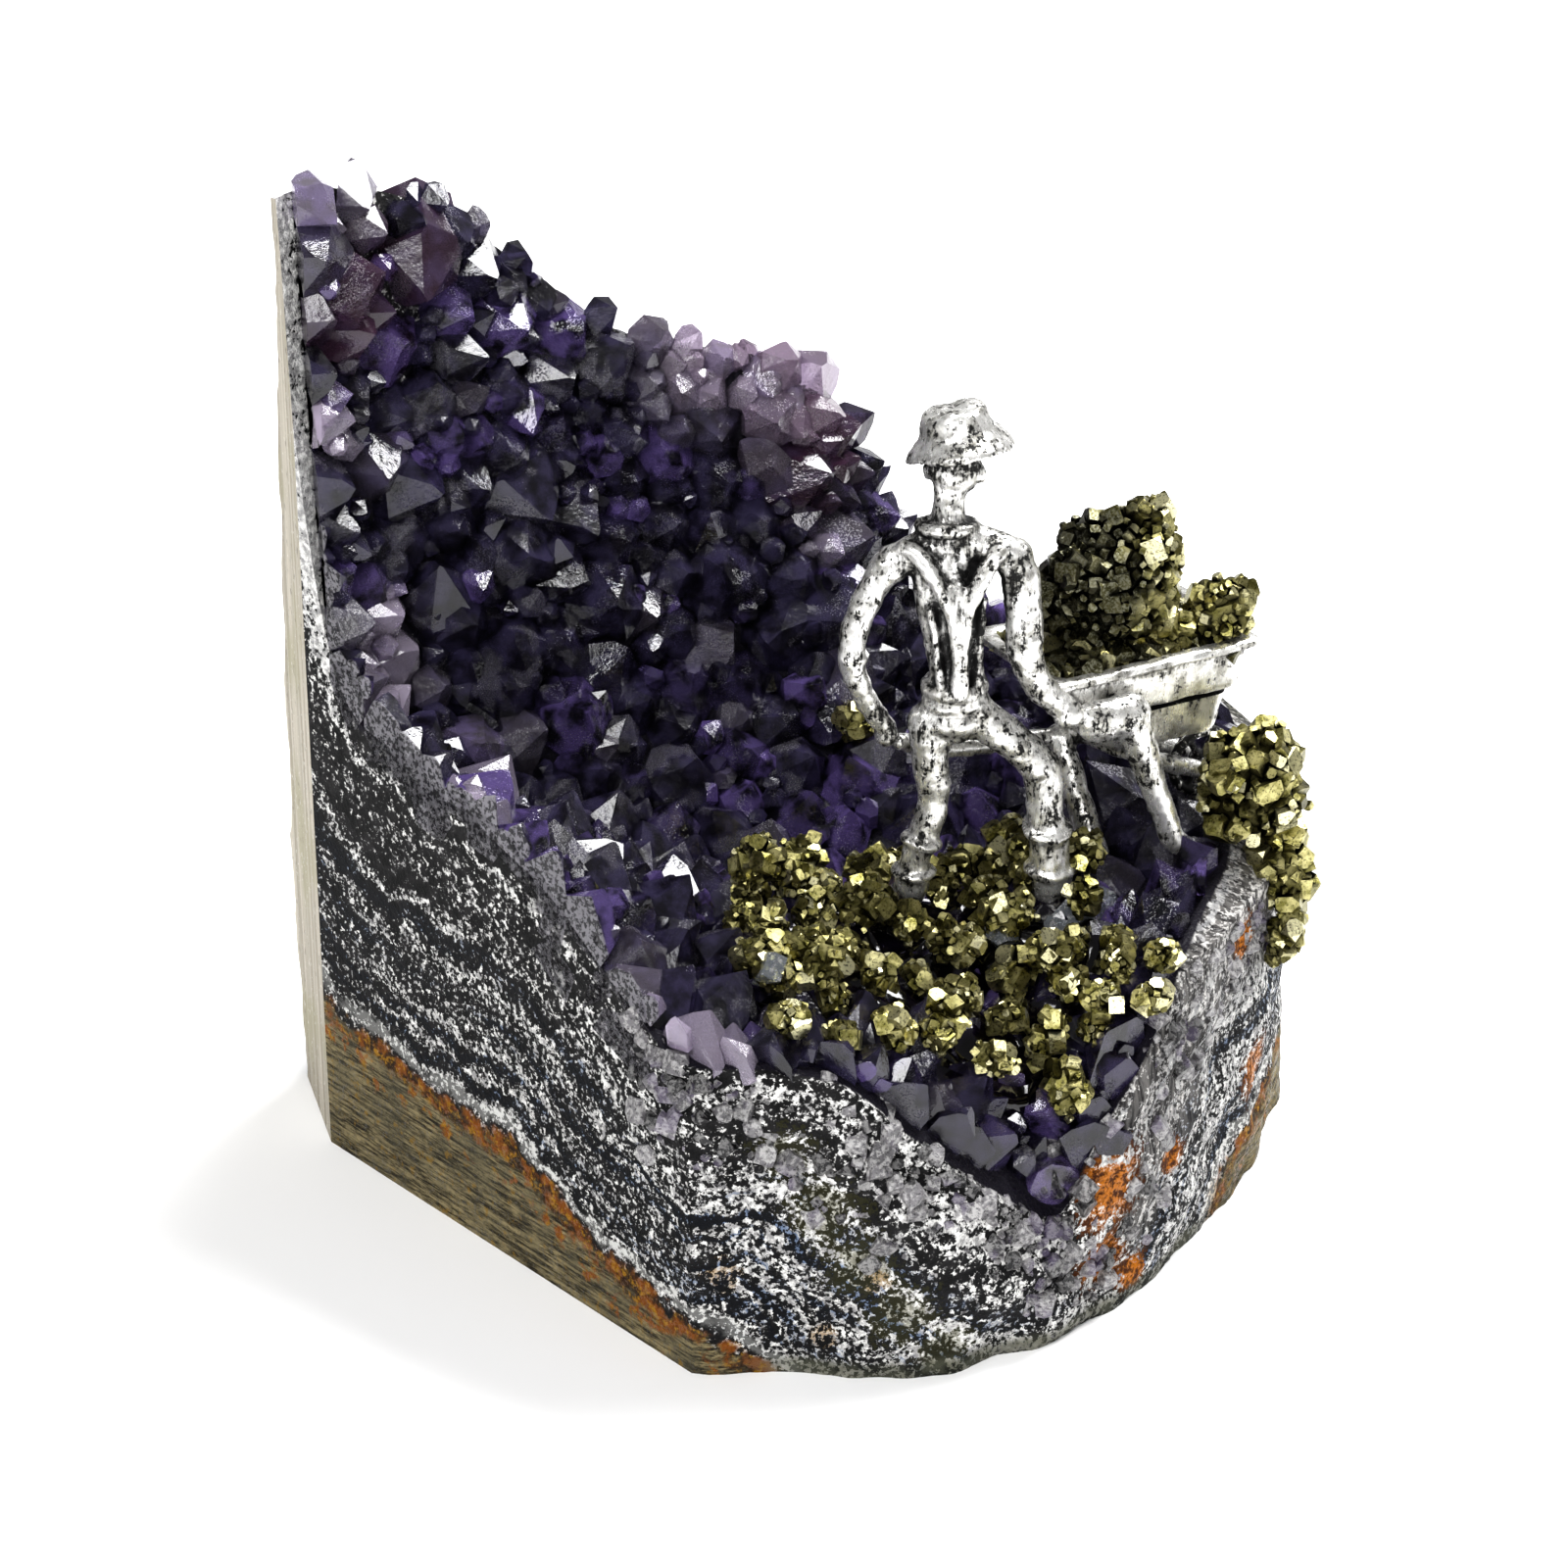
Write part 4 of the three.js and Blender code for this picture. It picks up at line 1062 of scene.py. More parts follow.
def quartz_points(roots, tips, radii):
    count = len(roots)
    length = np.linalg.norm(tips - roots, axis=1)
    axes = (tips - roots) / length[:, None]
    side, other = frames_along(axes, random.random(count) * math.tau)
    normals, offsets = [], []
    for k in range(6):
        turn = k * math.tau / 6
        out = side * math.cos(turn) + other * math.sin(turn)
        wide = radii * (0.9 + 0.25 * random.random(count))
        normals.append(out)
        offsets.append(np.einsum("ck,ck->c", out, roots) + wide)
        slope = out * math.cos(PYRAMID_TILT) + axes * math.sin(PYRAMID_TILT)
        back = radii * (0.02 + 0.1 * random.random(count) + (0.16 * random.random(count) if k % 2 else 0))
        normals.append(slope)
        offsets.append(np.einsum("ck,ck->c", slope, tips) + back - radii * 0.06)
    normals.append(-axes)
    offsets.append(np.einsum("ck,ck->c", -axes, roots))
    for origin, normal in SAW_CUTS.values():
        normals.append(np.tile(np.array(normal), (count, 1)))
        back = SIDE_STRIP if normal is SIDE_CUT[1] else 0
        offsets.append(np.full(count, float(origin.dot(normal)) - back))
    turns = np.arctan2(tips[:, 1] - HOLLOW_Y, tips[:, 0] - HOLLOW_X)
    outward = np.stack([np.cos(turns), np.sin(turns), 0 * turns], axis=1)
    normals.append(outward)
    setback = FRONT_SETBACK * (1 - weathering(tips))
    offsets.append(outward @ [HOLLOW_X, HOLLOW_Y, 0] + station_at(turns)[:, 1] - setback)
    normals.append(np.tile([0, 0, 1.0], (count, 1)))
    offsets.append(np.full(count, BOX_HIGH[2]))
    return convex_solids(np.stack(normals, axis=1), np.stack(offsets, axis=1))


large_rows = large_shapes()
small_rows = second_growth(large_rows)
crystal_rows = np.vstack([large_rows, small_rows])
roots, tips, radii = crystal_rows[:, :3], crystal_rows[:, 3:6], crystal_rows[:, 6]
print("large", len(large_rows), "small", len(small_rows))
crystal_points, crystal_faces, crystal_owner = quartz_points(roots, tips, radii)
print("crystals", len(roots), "points", len(crystal_points), "faces", len(crystal_faces))

# %% [markdown]
# Amethyst, from near black to clear
#
# Amethyst is quartz: clear, with a faint grey reflection on every face, and coloured violet in its tips. In
# a crowd of crystals light enters one, turns inside several and comes back weak and blue-violet, so most of
# the hollow looks almost black. Transmission with quartz's own index does part of this, and a dark
# violet-grey base colour stands for the light that is lost on the way. Paint alone would look like plastic.
# A number for each crystal makes some pale, some pink or smoky, and gives some a bright violet that is a
# painted glow. Dust makes some faces dull and grey, a grey that is partly a painted soft sheen.

# %% Colour numbers for each crystal
# a middle, how far the colour reaches, and how strong it is
PALE_PLACES = [((-52.1, 11.5, 84.9), 4.0, 1.0), ((-45.8, 11.6, 64.2), 3.0, 0.8),
               ((-45.7, 10.8, 57.2), 4.0, 0.9), ((-37.0, 1.4, 50.2), 2.5, 0.8),
               ((-42.5, -10.4, 52.8), 3.5, 0.8), ((-28.0, -39.4, 37.5), 6.0, 0.8),
               ((-49.0, 17.7, 106.6), 5.0, 0.4), ((-6.8, 28.9, 81.4), 6.0, 0.5),
               ((1.9, 29.3, 77.3), 6.0, 0.45), ((7.0, 22.7, 61.0), 3.0, 0.5),
               ((9.7, -45.9, 9.5), 7.0, 0.8)]
WARM_PLACES = [((-4.3, 29.9, 81.9), 6.0, 1.0), ((0.7, 28.2, 79.7), 6.0, 1.0), ((5.2, 28.5, 75.7), 7.0, 1.0),
               ((7.0, 26.9, 73.8), 7.0, 1.0), ((-45.0, 16.9, 97.6), 5.0, 1.0)]


def closeness(places, centres):
    """For each place, how strongly the nearest of the centres colours it."""
    total = np.zeros(len(places))
    for centre, reach, much in centres:
        away = np.linalg.norm(places - np.array(centre), axis=1)
        total = np.maximum(total, much * np.clip(1.6 - away / reach, 0, 1))
    return total


pale = np.clip(closeness(tips, PALE_PLACES) + 0.1 * (random.random(len(tips)) > 0.94), 0, 1)
warm = closeness(tips, WARM_PLACES)
shade = random.random(len(tips))
crystal_values = {
    "pale": pale[crystal_owner],
    "warm": warm[crystal_owner],
    "shade": shade[crystal_owner],
}


def look_amethyst(start):
    place = place_mm(start)
    pale, warm, shade = (value_of(start, name) for name in ("pale", "warm", "shade"))
    cloud = grain(place, 2.6, 3.0, 0.5)
    dust = grain(place, 0.25, 2.0, 0.7).step(0.5, 0.66)
    x, y, _ = parts_of(place)
    origin, normal = SAW_CUTS["section"]
    proud = x * normal[0] + y * normal[1] - float(origin.dot(Vector(normal)))
    sawn = proud.step(-0.35, -0.1)
    sugar = grain(place, 0.6, 3.0, 0.7).step(0.46, 0.54)
    film_and_sheen = grain(place, 4.0, 2.0, 0.5).step(0.52, 0.62)
    dull = shade.step(0.55, 0.7)
    ridges = grain(place, 0.8, 3.0, 0.6)
    colour = mix(cloud.step(0.35, 0.7), rgb("1a1722"), rgb("4c4666"))
    # Painted glow: crystals with a low shade number turn bright violet in patches of the cloud, for light
    # glowing inside them.
    colour = mix(shade.step(0.3, 0.05) * cloud.step(0.35, 0.6), colour, rgb("7b68a8"))
    # Partly dust and partly painted sheen: patches of the dull crystals turn the grey of a soft reflection.
    colour = mix(film_and_sheen * dull * 0.5, colour, rgb("7a7782"))
    colour = mix(warm * 0.7 * (0.3 + 0.7 * shade), colour, rgb("8a5f7c"))
    colour = mix(pale, colour, rgb("ddd0e6"))
    colour = mix(sawn, colour, mix(sugar, rgb("1b1821"), rgb("aeabb3")))
    rough = 0.07 + dull * 0.14 + dust * film_and_sheen * 0.3 + sawn * 0.5
    return {"Base Color": colour, "Roughness": rough, "Bump": (dust * film_and_sheen * 0.4 + ridges, 0.12, 0.5)}


finish_material("amethyst", look_amethyst, IOR=1.54, Transmission_Weight=0.68)
amethyst = mesh_piece("amethyst_points", crystal_points, crystal_faces, ["amethyst"], values=crystal_values)
dress(amethyst, "amethyst", "amethyst_crust")

# %% [markdown]
# Broken quartz at the open edge
#
# The front of the stone was not sawn but broken, so there the quartz under the points shows as sugary
# lumps, clear, white and smoke-grey. Many little cubes with cut corners, half sunk in the face, give it a
# real edge and sparkle, which bump alone would lose at the outline.

# %% Sugary lumps on the broken face
BROKEN_SEED = 9
BROKEN_TRIES = 15000
BROKEN_DEPTH = 15.0
BROKEN_FADE = 9.0
BROKEN_WIDTHS = (0.6, 2.5)
BROKEN_BIAS = 2.6
broken_random = np.random.default_rng(BROKEN_SEED)


def broken_lumps():
    spots, normals, _, _ = random_spots("stone", BROKEN_TRIES, broken_random)
    narrow, wide = BROKEN_WIDTHS
    widths = narrow + (wide - narrow) * broken_random.random(len(spots)) ** BROKEN_BIAS
    deep = np.array([depth_tree.find(spot)[2] for spot in spots])
    chance = np.clip((BROKEN_DEPTH - deep) / BROKEN_FADE, 0, 1)
    sideways = np.hypot(normals[:, 0], normals[:, 1]) > 0.5
    front = (weathering(spots) < 0.3) & (deep > 0.6) & sideways
    good = front & (broken_random.random(len(spots)) < chance)
    spots, normals, widths = spots[good], normals[good], widths[good]
    order = np.argsort(-widths)
    kept = order[spread_out(spots[order], widths[order], 0.4)]
    spots, normals, halves = spots[kept], normals[kept], widths[kept] * 0.5
    inside = ((spots - halves[:, None] > BOX_LOW) & (spots + halves[:, None] < BOX_HIGH)).all(axis=1)
    spots, normals, halves = spots[inside], normals[inside], halves[inside]
    return spots - normals * (halves * 0.45)[:, None], halves


def look_broken(start):
    place = place_mm(start)
    shade = value_of(start, "shade")
    frost = grain(place, 0.5, 4.0, 0.7)
    sugar = grain(place, 0.7, 4.0, 0.7)
    colour = mix(shade.step(0.2, 0.8), rgb("131215"), rgb("8f8c90"))
    colour = mix(sugar.step(0.46, 0.54) * (0.25 + 0.6 * shade), colour, rgb("e6e4e3"))
    colour = mix(frost.step(0.5, 0.42) * 0.5, colour, rgb("1a191c"))
    colour = mix(grain(place, 6.0, 3.0, 0.6).step(0.52, 0.62) * 0.4, colour, rgb("6d5b86"))
    return {"Base Color": colour, "Roughness": 0.12 + 0.4 * frost, "Bump": (frost * 0.6 + sugar, 0.3, 0.8)}


finish_material("broken quartz", look_broken, Transmission_Weight=0.45, IOR=1.54)
centres, halves = broken_lumps()
points, faces, owner, _ = cut_cubes(centres, halves, broken_random, cut=1.5)
shade = broken_random.random(len(centres))[owner]
broken = mesh_piece("broken_quartz", points, faces, ["broken quartz"], values={"shade": shade})
dress(broken, "stone")

# %% [markdown]
# Pyrite in grains
#
# A pyrite nugget is not one lump but dozens of small crystals grown into each other, each a cube with its
# corners cut off. The frame gives the lump's size and place. Here its surface is sown with grains, turned
# every way, over a core a little smaller than the lump. The same plane lists as for the quartz make them.
# Each corner also carries how far it lies along one edge of its cube, so the material can draw the fine
# parallel steps that pyrite has.

# %% Sow a surface with grains
def surface_spots(node, spacing, seed):
    """Spots on a node with the spacing between them, and the node's mesh."""
    random = np.random.default_rng(seed)
    spots, normals, points, faces = random_spots(node, lambda area: int(area / spacing**2 * 7), random)
    kept = spread_out(spots, np.full(len(spots), spacing), 0.5)
    return spots[kept], normals[kept], points, faces


# %% Rings and rounded lumps
def loft(rings, closed=False):
    """Points and faces between rings of equal count. Open lofts get a flat end at each side."""
    count, sides, _ = rings.shape
    at = lambda ring, turn: ring % count * sides + turn % sides
    faces = [(at(r, t), at(r, t + 1), at(r + 1, t + 1), at(r + 1, t))
             for r in range(count if closed else count - 1) for t in range(sides)]
    if not closed:
        faces += [tuple(range(sides))[::-1], tuple(at(count - 1, t) for t in range(sides))]
    return rings.reshape(-1, 3), faces


def ball(centre, radii):
    """A rounded lump with three radii."""
    x, y, z = centre
    wide, deep, tall = radii
    turns = np.radians([-88, -65, -42, -20, 0, 20, 42, 65, 88])
    around = np.arange(16) / 16 * math.tau
    rings = [[(x + wide * math.cos(a) * math.cos(t),
               y + deep * math.sin(a) * math.cos(t),
               z + tall * math.sin(t)) for a in around] for t in turns]
    return loft(np.array(rings))


# %% Grains over a core
GRAIN_LOOKS = {
    "pyrite_nugget": (0.85, 1.1),
    "pyrite_load_chunk": (1.05, 0.97),
    "pyrite_load": (0.95, 0.98),
    "pyrite_cluster": (1.2, 0.98),
}
CORE_SHRINK = 0.86


def shifted(faces, shift):
    """The same faces for points that come later in a mesh."""
    return [tuple(k + shift for k in face) for face in faces]


def core_with_grains(core, core_faces, centres, halves, random):
    """Points, faces and numbers of a core with a grain on each centre."""
    points, faces, owner, stripe = cut_cubes(centres, halves, random)
    shade = random.random(len(centres))[owner]
    nothing = np.zeros(len(core))
    values = {"stripe": np.concatenate([nothing, stripe]), "shade": np.concatenate([nothing, shade])}
    return np.vstack([core, points]), core_faces + shifted(faces, len(core)), values


def grains_over(spots, normals, core, core_faces, spacing, random):
    """The same for a surface: the core shrinks a little and the grains sink half into it."""
    halves = spacing * (0.32 + 0.85 * random.random(len(spots)) ** 3.0)
    centres = spots - normals * (halves * (0.75 + 0.5 * random.random(len(spots))))[:, None]
    middle = core.mean(axis=0)
    core = middle + (core - middle) * CORE_SHRINK
    return core_with_grains(core, core_faces, centres, halves, random)


def grainy(node, seed):
    spacing, swell = next(look for start, look in GRAIN_LOOKS.items() if node.startswith(start))
    spots, normals, core, core_faces = surface_spots(node, spacing, seed)
    middle = core.mean(axis=0)
    spots, core = middle + (spots - middle) * swell, middle + (core - middle) * swell
    return grains_over(spots, normals, core, core_faces, spacing, np.random.default_rng(seed))


def hollows(place, reach, samples=6):
    """1 in the open and towards 0 in creases of the same piece narrower than reach, in millimetres."""
    settings = {"only_local": True, "samples": samples}
    return place.node("ShaderNodeAmbientOcclusion", settings, {"Distance": reach * MM}, output=1)


def look_pyrite(start, dark=0.0):
    place = place_mm(start)
    shade, stripe = value_of(start, "shade"), value_of(start, "stripe")
    # 1 in the open and towards 0 in creases; below it paints shade into the creases.
    open_not_shaded = hollows(place, 1.6).step(0.35, 0.85)
    tarnish = grain(place, 1.6, 4.0, 0.6)
    pits = grain(place, 0.3, 3.0, 0.7)
    colour = mix(tarnish.step(0.35, 0.65), rgb("6f6b3a"), rgb("c0b984"))
    colour = mix(shade.step(0.65, 1.0) * 0.8, colour, rgb("ece7c0"))
    colour = mix(shade.step(0.4, 0.0) * 0.8, colour, rgb("3d3a20"))
    colour = mix(pits.step(0.54, 0.62) * 0.75, colour, rgb("1c1b10"))
    # Painted shade: the creases between the grains go near black.
    colour = mix(open_not_shaded, rgb("030302"), colour)
    if dark:
        grey = mix(pits.step(0.45, 0.6), rgb("121210"), rgb("6c6c60"))
        # Painted shade here too: the dark grains go near black in their creases.
        colour = mix(dark, colour, mix(open_not_shaded, rgb("030302"), grey))
    steps = (stripe * 9.0).maths("FRACT", stripe * 9.0)
    rough = 0.16 + 0.3 * tarnish + (1 - open_not_shaded) * 0.4
    height = steps * 0.35 + pits * 0.8
    return {"Base Color": colour, "Roughness": rough, "Bump": (height, 0.06, 0.8)}


CHUNK_DARK_X = 31.0


def look_chunk(start):
    place = place_mm(start)
    x, _, _ = parts_of(place)
    side = x + (grain(place, 5.0, 4.0, 0.6) - 0.5) * 14.0
    return look_pyrite(start, side.step(CHUNK_DARK_X, CHUNK_DARK_X - 5.0) * 0.85)


def look_crumbs(start):
    return look_pyrite(start, value_of(start, "shade").step(0.75, 0.6) * 0.8)


# %% Dress every pyrite lump
finish_material("pyrite", look_pyrite, Metallic=1.0)
finish_material("pyrite chunk", look_chunk, Metallic=1.0)
finish_material("pyrite crumbs", look_crumbs, Metallic=1.0)
for seed, node in enumerate(sorted(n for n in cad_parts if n.startswith("pyrite"))):
    points, faces, values = grainy(node, 40 + seed)
    finish = "pyrite chunk" if node.endswith("chunk") else "pyrite"
    piece = mesh_piece(node + "_grains", points, faces, [finish], values=values)
    dress(piece, "pyrite", node)

# %% [markdown]
# Nuggets between the nuggets
#
# The field round the boots is a heap, not a row: small nuggets sit in the gaps and some have rolled towards
# the broken edge. They are set at places read from the photograph, and a ray dropped on the crust
# gives the height, so that each one stands on the crystals. Crumbs of dark pyrite also fill the tray under
# its large lumps.

# %% Small nuggets and crumbs in the tray
SMALL_NUGGETS = [(-13.9, -15.0), (-15.6, -19.0), (-8.4, -9.4), (-5.6, -13.0), (14.6, -9.9), (-6.3, -26.9),
                 (-14.9, -31.7),
                 (-16.4, -38.6), (-10.2, -33.0), (-11.2, -39.6), (0.3, -27.6), (-0.7, -38.8), (11.5, -34.3),
                 (15.5, -31.3), (17.0, -36.4), (22.3, -37.6), (21.6, -28.8), (10.1, -30.0), (17.9, -27.0),
                 (-4.9, -38.2), (24.4, -34.4), (20.2, -33.4), (5.0, 10.6)]
crumb_random = np.random.default_rng(61)


def crust_top(x, y):
    """Height of the crust over a place of the base."""
    hit = crust_tree.ray_cast(Vector((x, y, 150)) * MM, Vector((0, 0, -1)))
    return None if hit[0] is None else hit[0].z / MM


def lump(centre, radii, spacing, random):
    """A rounded lump of grains made from nothing."""
    count = max(int(4 * math.pi * np.mean(radii) ** 2 / spacing**2 * 0.95), 10)
    k = np.arange(count) + 0.5
    lift, turn = 1 - 2 * k / count, k * math.pi * (1 + math.sqrt(5))
    flat = np.sqrt(1 - lift**2)
    normals = np.stack([np.cos(turn) * flat, np.sin(turn) * flat, lift], axis=1)
    bulge = 0.85 + 0.3 * random.random((count, 1))
    spots = np.array(centre) + normals * np.array(radii) * bulge
    core, core_faces = ball(centre, np.array(radii) * 0.95)
    return grains_over(spots, normals, core, core_faces, spacing, random)


def join_lumps(lumps):
    """One mesh's points, faces and numbers from several lumps."""
    points, faces, values, shift = [], [], {"stripe": [], "shade": []}, 0
    for lump_points, lump_faces, lump_values in lumps:
        points.append(lump_points)
        faces += shifted(lump_faces, shift)
        for name in values:
            values[name].append(lump_values[name])
        shift += len(lump_points)
    return np.vstack(points), faces, {name: np.concatenate(rows) for name, rows in values.items()}


lumps = []
for x, y in SMALL_NUGGETS:
    radii = 1.5 + 0.7 * crumb_random.random(3)
    lumps.append(lump((x, y, crust_top(x, y) + 0.7 * radii[2]), radii, 0.85, crumb_random))
points, faces, values = join_lumps(lumps)
small_nuggets = mesh_piece("pyrite_small_nuggets", points, faces, ["pyrite"], values=values)
dress(small_nuggets, "pyrite")


# %% Crumbs in the tray
BARROW_PLACE = Matrix.Translation(Vector((16.9, -16.8, 0)) * MM) @ Matrix.Rotation(math.radians(12.8), 4, "Z")
CRUMB_COUNT = 420
CRUMB_RANGE = ((2.6, 24.4), (1.2, 13.6))
MOUND_MIDDLE = (13.5, 7.4)
MOUND_HALF = (11.5, 6.6)
MOUND_FOOT = 59.4
MOUND_RISE = 1.6


def tray_crumbs():
    """Grains heaped over a low mound, in the tray's own frame, then set in place with it."""
    (x0, x1), (y0, y1) = CRUMB_RANGE
    x = x0 + (x1 - x0) * crumb_random.random(CRUMB_COUNT)
    y = y0 + (y1 - y0) * crumb_random.random(CRUMB_COUNT)
    across = 1 - ((x - MOUND_MIDDLE[0]) / MOUND_HALF[0]) ** 2 * 0.6
    across = across - ((y - MOUND_MIDDLE[1]) / MOUND_HALF[1]) ** 2 * 0.5
    z = MOUND_FOOT + MOUND_RISE * np.clip(across, 0, 1) + 0.5 * crumb_random.random(CRUMB_COUNT)
    halves = 0.45 + 0.85 * crumb_random.random(CRUMB_COUNT) ** 2.0
    centres = np.stack([x, y, z - halves * 0.4], axis=1)
    core, core_faces = ball((*MOUND_MIDDLE, 57.4), (10.6, 6.0, 3.0))
    return core_with_grains(core, core_faces, centres, halves, crumb_random)


points, faces, values = tray_crumbs()
crumbs = mesh_piece("pyrite_tray_crumbs", points, faces, ["pyrite crumbs"], values=values)
crumbs.data.transform(BARROW_PLACE)
dress(crumbs, "pyrite")

# %% [markdown]
# Dark glue and clear chips
#
# The nuggets are held by a clear resin that was poured thick and reads black over the dark crystals, with
# sharp small reflections. It is a low lumpy cake: its top follows the highest crystals near each point,
# smoothed, and thins out to nothing at the edge of the field. A few flat chips of clear quartz are caught
# in it.

# %% The cake of resin
FIELD_MIDDLE = (2.8, -23.6)
FIELD_HALF = (22.0, 16.0)
FIELD_RINGS = 40
FIELD_TURNS = 132
GLUE_REACH = 1.7
GLUE_OVER = 0.3
GLUE_SHARE = 0.86
CAKE_DEPTH = 3.0
CAKE_FLAT = 0.72
CAKE_FALL = 3.2


def glue_top(x, y):
    """The highest crust near a place, which the glue just covers."""
    angle = math.atan2(y - HOLLOW_Y, x - HOLLOW_X)
    if math.hypot(x - HOLLOW_X, y - HOLLOW_Y) > GLUE_SHARE * station_at(angle)[1]:
        return None
    heights = [crust_top(x, y)]
    for reach, count in ((GLUE_REACH, 7), (GLUE_REACH * 0.5, 5)):
        for k in range(count):
            turn = k * math.tau / count
            heights.append(crust_top(x + reach * math.cos(turn), y + reach * math.sin(turn)))
    known = [h for h in heights if h is not None]
    if heights[0] is None or len(known) < 8:
        return None
    return max(known) * 0.5 + sum(known) / len(known) * 0.5


def resin_cake():
    tops = np.full((FIELD_RINGS, FIELD_TURNS), np.nan)
    places = np.zeros((FIELD_RINGS, FIELD_TURNS, 3))
    for turn in range(FIELD_TURNS):
        angle = turn / FIELD_TURNS * math.tau
        edge = 1 + 0.12 * noise.noise(Vector((math.cos(angle) * 2.2, math.sin(angle) * 2.2, 4.0)))
        for ring in range(FIELD_RINGS):
            share = (ring + 1) / FIELD_RINGS * edge
            x = FIELD_MIDDLE[0] + FIELD_HALF[0] * share * math.cos(angle)
            y = FIELD_MIDDLE[1] + FIELD_HALF[1] * share * math.sin(angle)
            top = glue_top(x, y)
            fade = CAKE_FALL * max(share / edge - CAKE_FLAT, 0) ** 2 / 0.28**2
            places[ring, turn, :2] = x, y
            if top is not None:
                ripple = noise.noise(Vector((x, y, 0)) * 0.45) * 0.5
                tops[ring, turn] = top + GLUE_OVER + ripple - fade
    return places, tops


def resin_mesh():
    """Closed cake: the top's grid where the crust lies under it, and the same grid again 3 mm below."""
    places, tops = resin_cake()
    filled = np.where(np.isnan(tops), 0, tops)
    for _ in range(2):
        weight = ~np.isnan(tops) * 1.0
        total = filled * weight * 2
        parts = weight * 2
        for shift, axis in ((1, 0), (-1, 0), (1, 1), (-1, 1)):
            total += np.roll(filled * weight, shift, axis)
            parts += np.roll(weight, shift, axis)
        filled = np.where(weight > 0, total / np.maximum(parts, 1), 0)
    places[..., 2] = filled
    known = ~np.isnan(tops)
    bm = bmesh.new()
    top = [[bm.verts.new(p) for p in row] for row in places]
    low = [[bm.verts.new((p[0], p[1], p[2] - CAKE_DEPTH)) for p in row] for row in places]
    for ring in range(FIELD_RINGS - 1):
        for turn in range(FIELD_TURNS):
            after = (turn + 1) % FIELD_TURNS
            if known[ring : ring + 2, [turn, after]].all():
                corners = ((ring, turn), (ring + 1, turn), (ring + 1, after), (ring, after))
                bm.faces.new([top[i][k] for i, k in corners])
                bm.faces.new([low[i][k] for i, k in corners[::-1]])
    bm.faces.new([top[0][k] for k in range(FIELD_TURNS)])
    bm.faces.new([low[0][k] for k in range(FIELD_TURNS)][::-1])
    pairs = {v: low[i][k] for i, row in enumerate(top) for k, v in enumerate(row)}
    for edge in [e for e in bm.edges if e.is_boundary and e.verts[0] in pairs and e.verts[1] in pairs]:
        a, b = edge.verts
        bm.faces.new((a, b, pairs[b], pairs[a]))
    bmesh.ops.delete(bm, geom=[v for v in bm.verts if not v.link_faces], context="VERTS")
    bmesh.ops.recalc_face_normals(bm, faces=bm.faces[:])
    bm.verts.index_update()
    points = np.array([v.co for v in bm.verts])
    faces = [tuple(v.index for v in f.verts) for f in bm.faces]
    bm.free()
    return points, faces


def look_resin(start):
    place = place_mm(start)
    cloud = grain(place, 4.0, 3.0, 0.5)
    colour = mix(cloud.step(0.4, 0.65), rgb("050308"), rgb("1c1526"))
    return {"Base Color": colour, "Roughness": 0.04 + 0.1 * cloud, "Bump": (cloud, 0.3, 0.5)}


finish_material("resin", look_resin, Transmission_Weight=0.6, IOR=1.5)
points, faces = resin_mesh()
resin = mesh_piece("resin_glue", points, faces, ["resin"], smooth=True)
dress(resin)

# %% Clear quartz chips
CHIPS = [((20.6, -21.6, 36.4), (3.4, 2.0, 1.3), (15, -30, 35)),
         ((10.9, -23.8, 36.4), (1.6, 1.3, 1.0), (40, 20, 10)),
         ((-16.8, -33.4, 41.4), (1.7, 1.2, 1.4), (20, 50, 70)),
         ((17.0, -24.0, 35.8), (1.5, 1.1, 0.9), (60, 10, 120))]


def chip(centre, halves, degrees, seed):
    """A broken plate: three pairs of faces, and six more that knock off its corners."""
    random = np.random.default_rng(seed)
    about_x, about_y, about_z = [Matrix.Rotation(math.radians(d), 3, axis) for d, axis in zip(degrees, "XYZ")]
    turn = np.array(about_z @ about_x @ about_y)
    normals = np.vstack([np.eye(3), -np.eye(3), random.normal(size=(6, 3))])
    normals /= np.linalg.norm(normals, axis=1, keepdims=True)
    reach = np.abs(normals) @ np.array(halves)
    reach[6:] *= 0.72
    normals = normals @ turn.T
    return convex_solids(normals[None], (reach + normals @ np.array(centre))[None])


def look_chip(start):
    place = place_mm(start)
    frost = grain(place, 0.9, 4.0, 0.65).step(0.5, 0.65)
    colour = mix(frost, rgb("aab0b8"), rgb("e8e8ea"))
    return {"Base Color": colour, "Roughness": 0.06 + 0.4 * frost, "Bump": (frost, 0.08, 0.5)}


finish_material("clear quartz", look_chip, Transmission_Weight=0.8, IOR=1.54)
for number, (centre, halves, degrees) in enumerate(CHIPS, 1):
    points, faces, _ = chip(centre, halves, degrees, 80 + number)
    dress(mesh_piece(f"quartz_chip_{number}", points, faces, ["clear quartz"]))

# %% [markdown]
# Cast pewter
#
# The figure was modelled by hand in soft material, cast in pewter, blackened and then rubbed bright, so
# every ridge shines and every hollow stays black. Limbs are drawn as chains of places with a radius and
# lofted to round tubes. A voxel remesh then melts all the tubes into one skin, as the casting did, and a
# little noise along the normals gives the hand-worked dents. Joining tubes with booleans would leave sharp
# seams at each crossing.

# %% Draw limbs as tubes
TUBE_STEPS = 5
TUBE_SIDES = 18


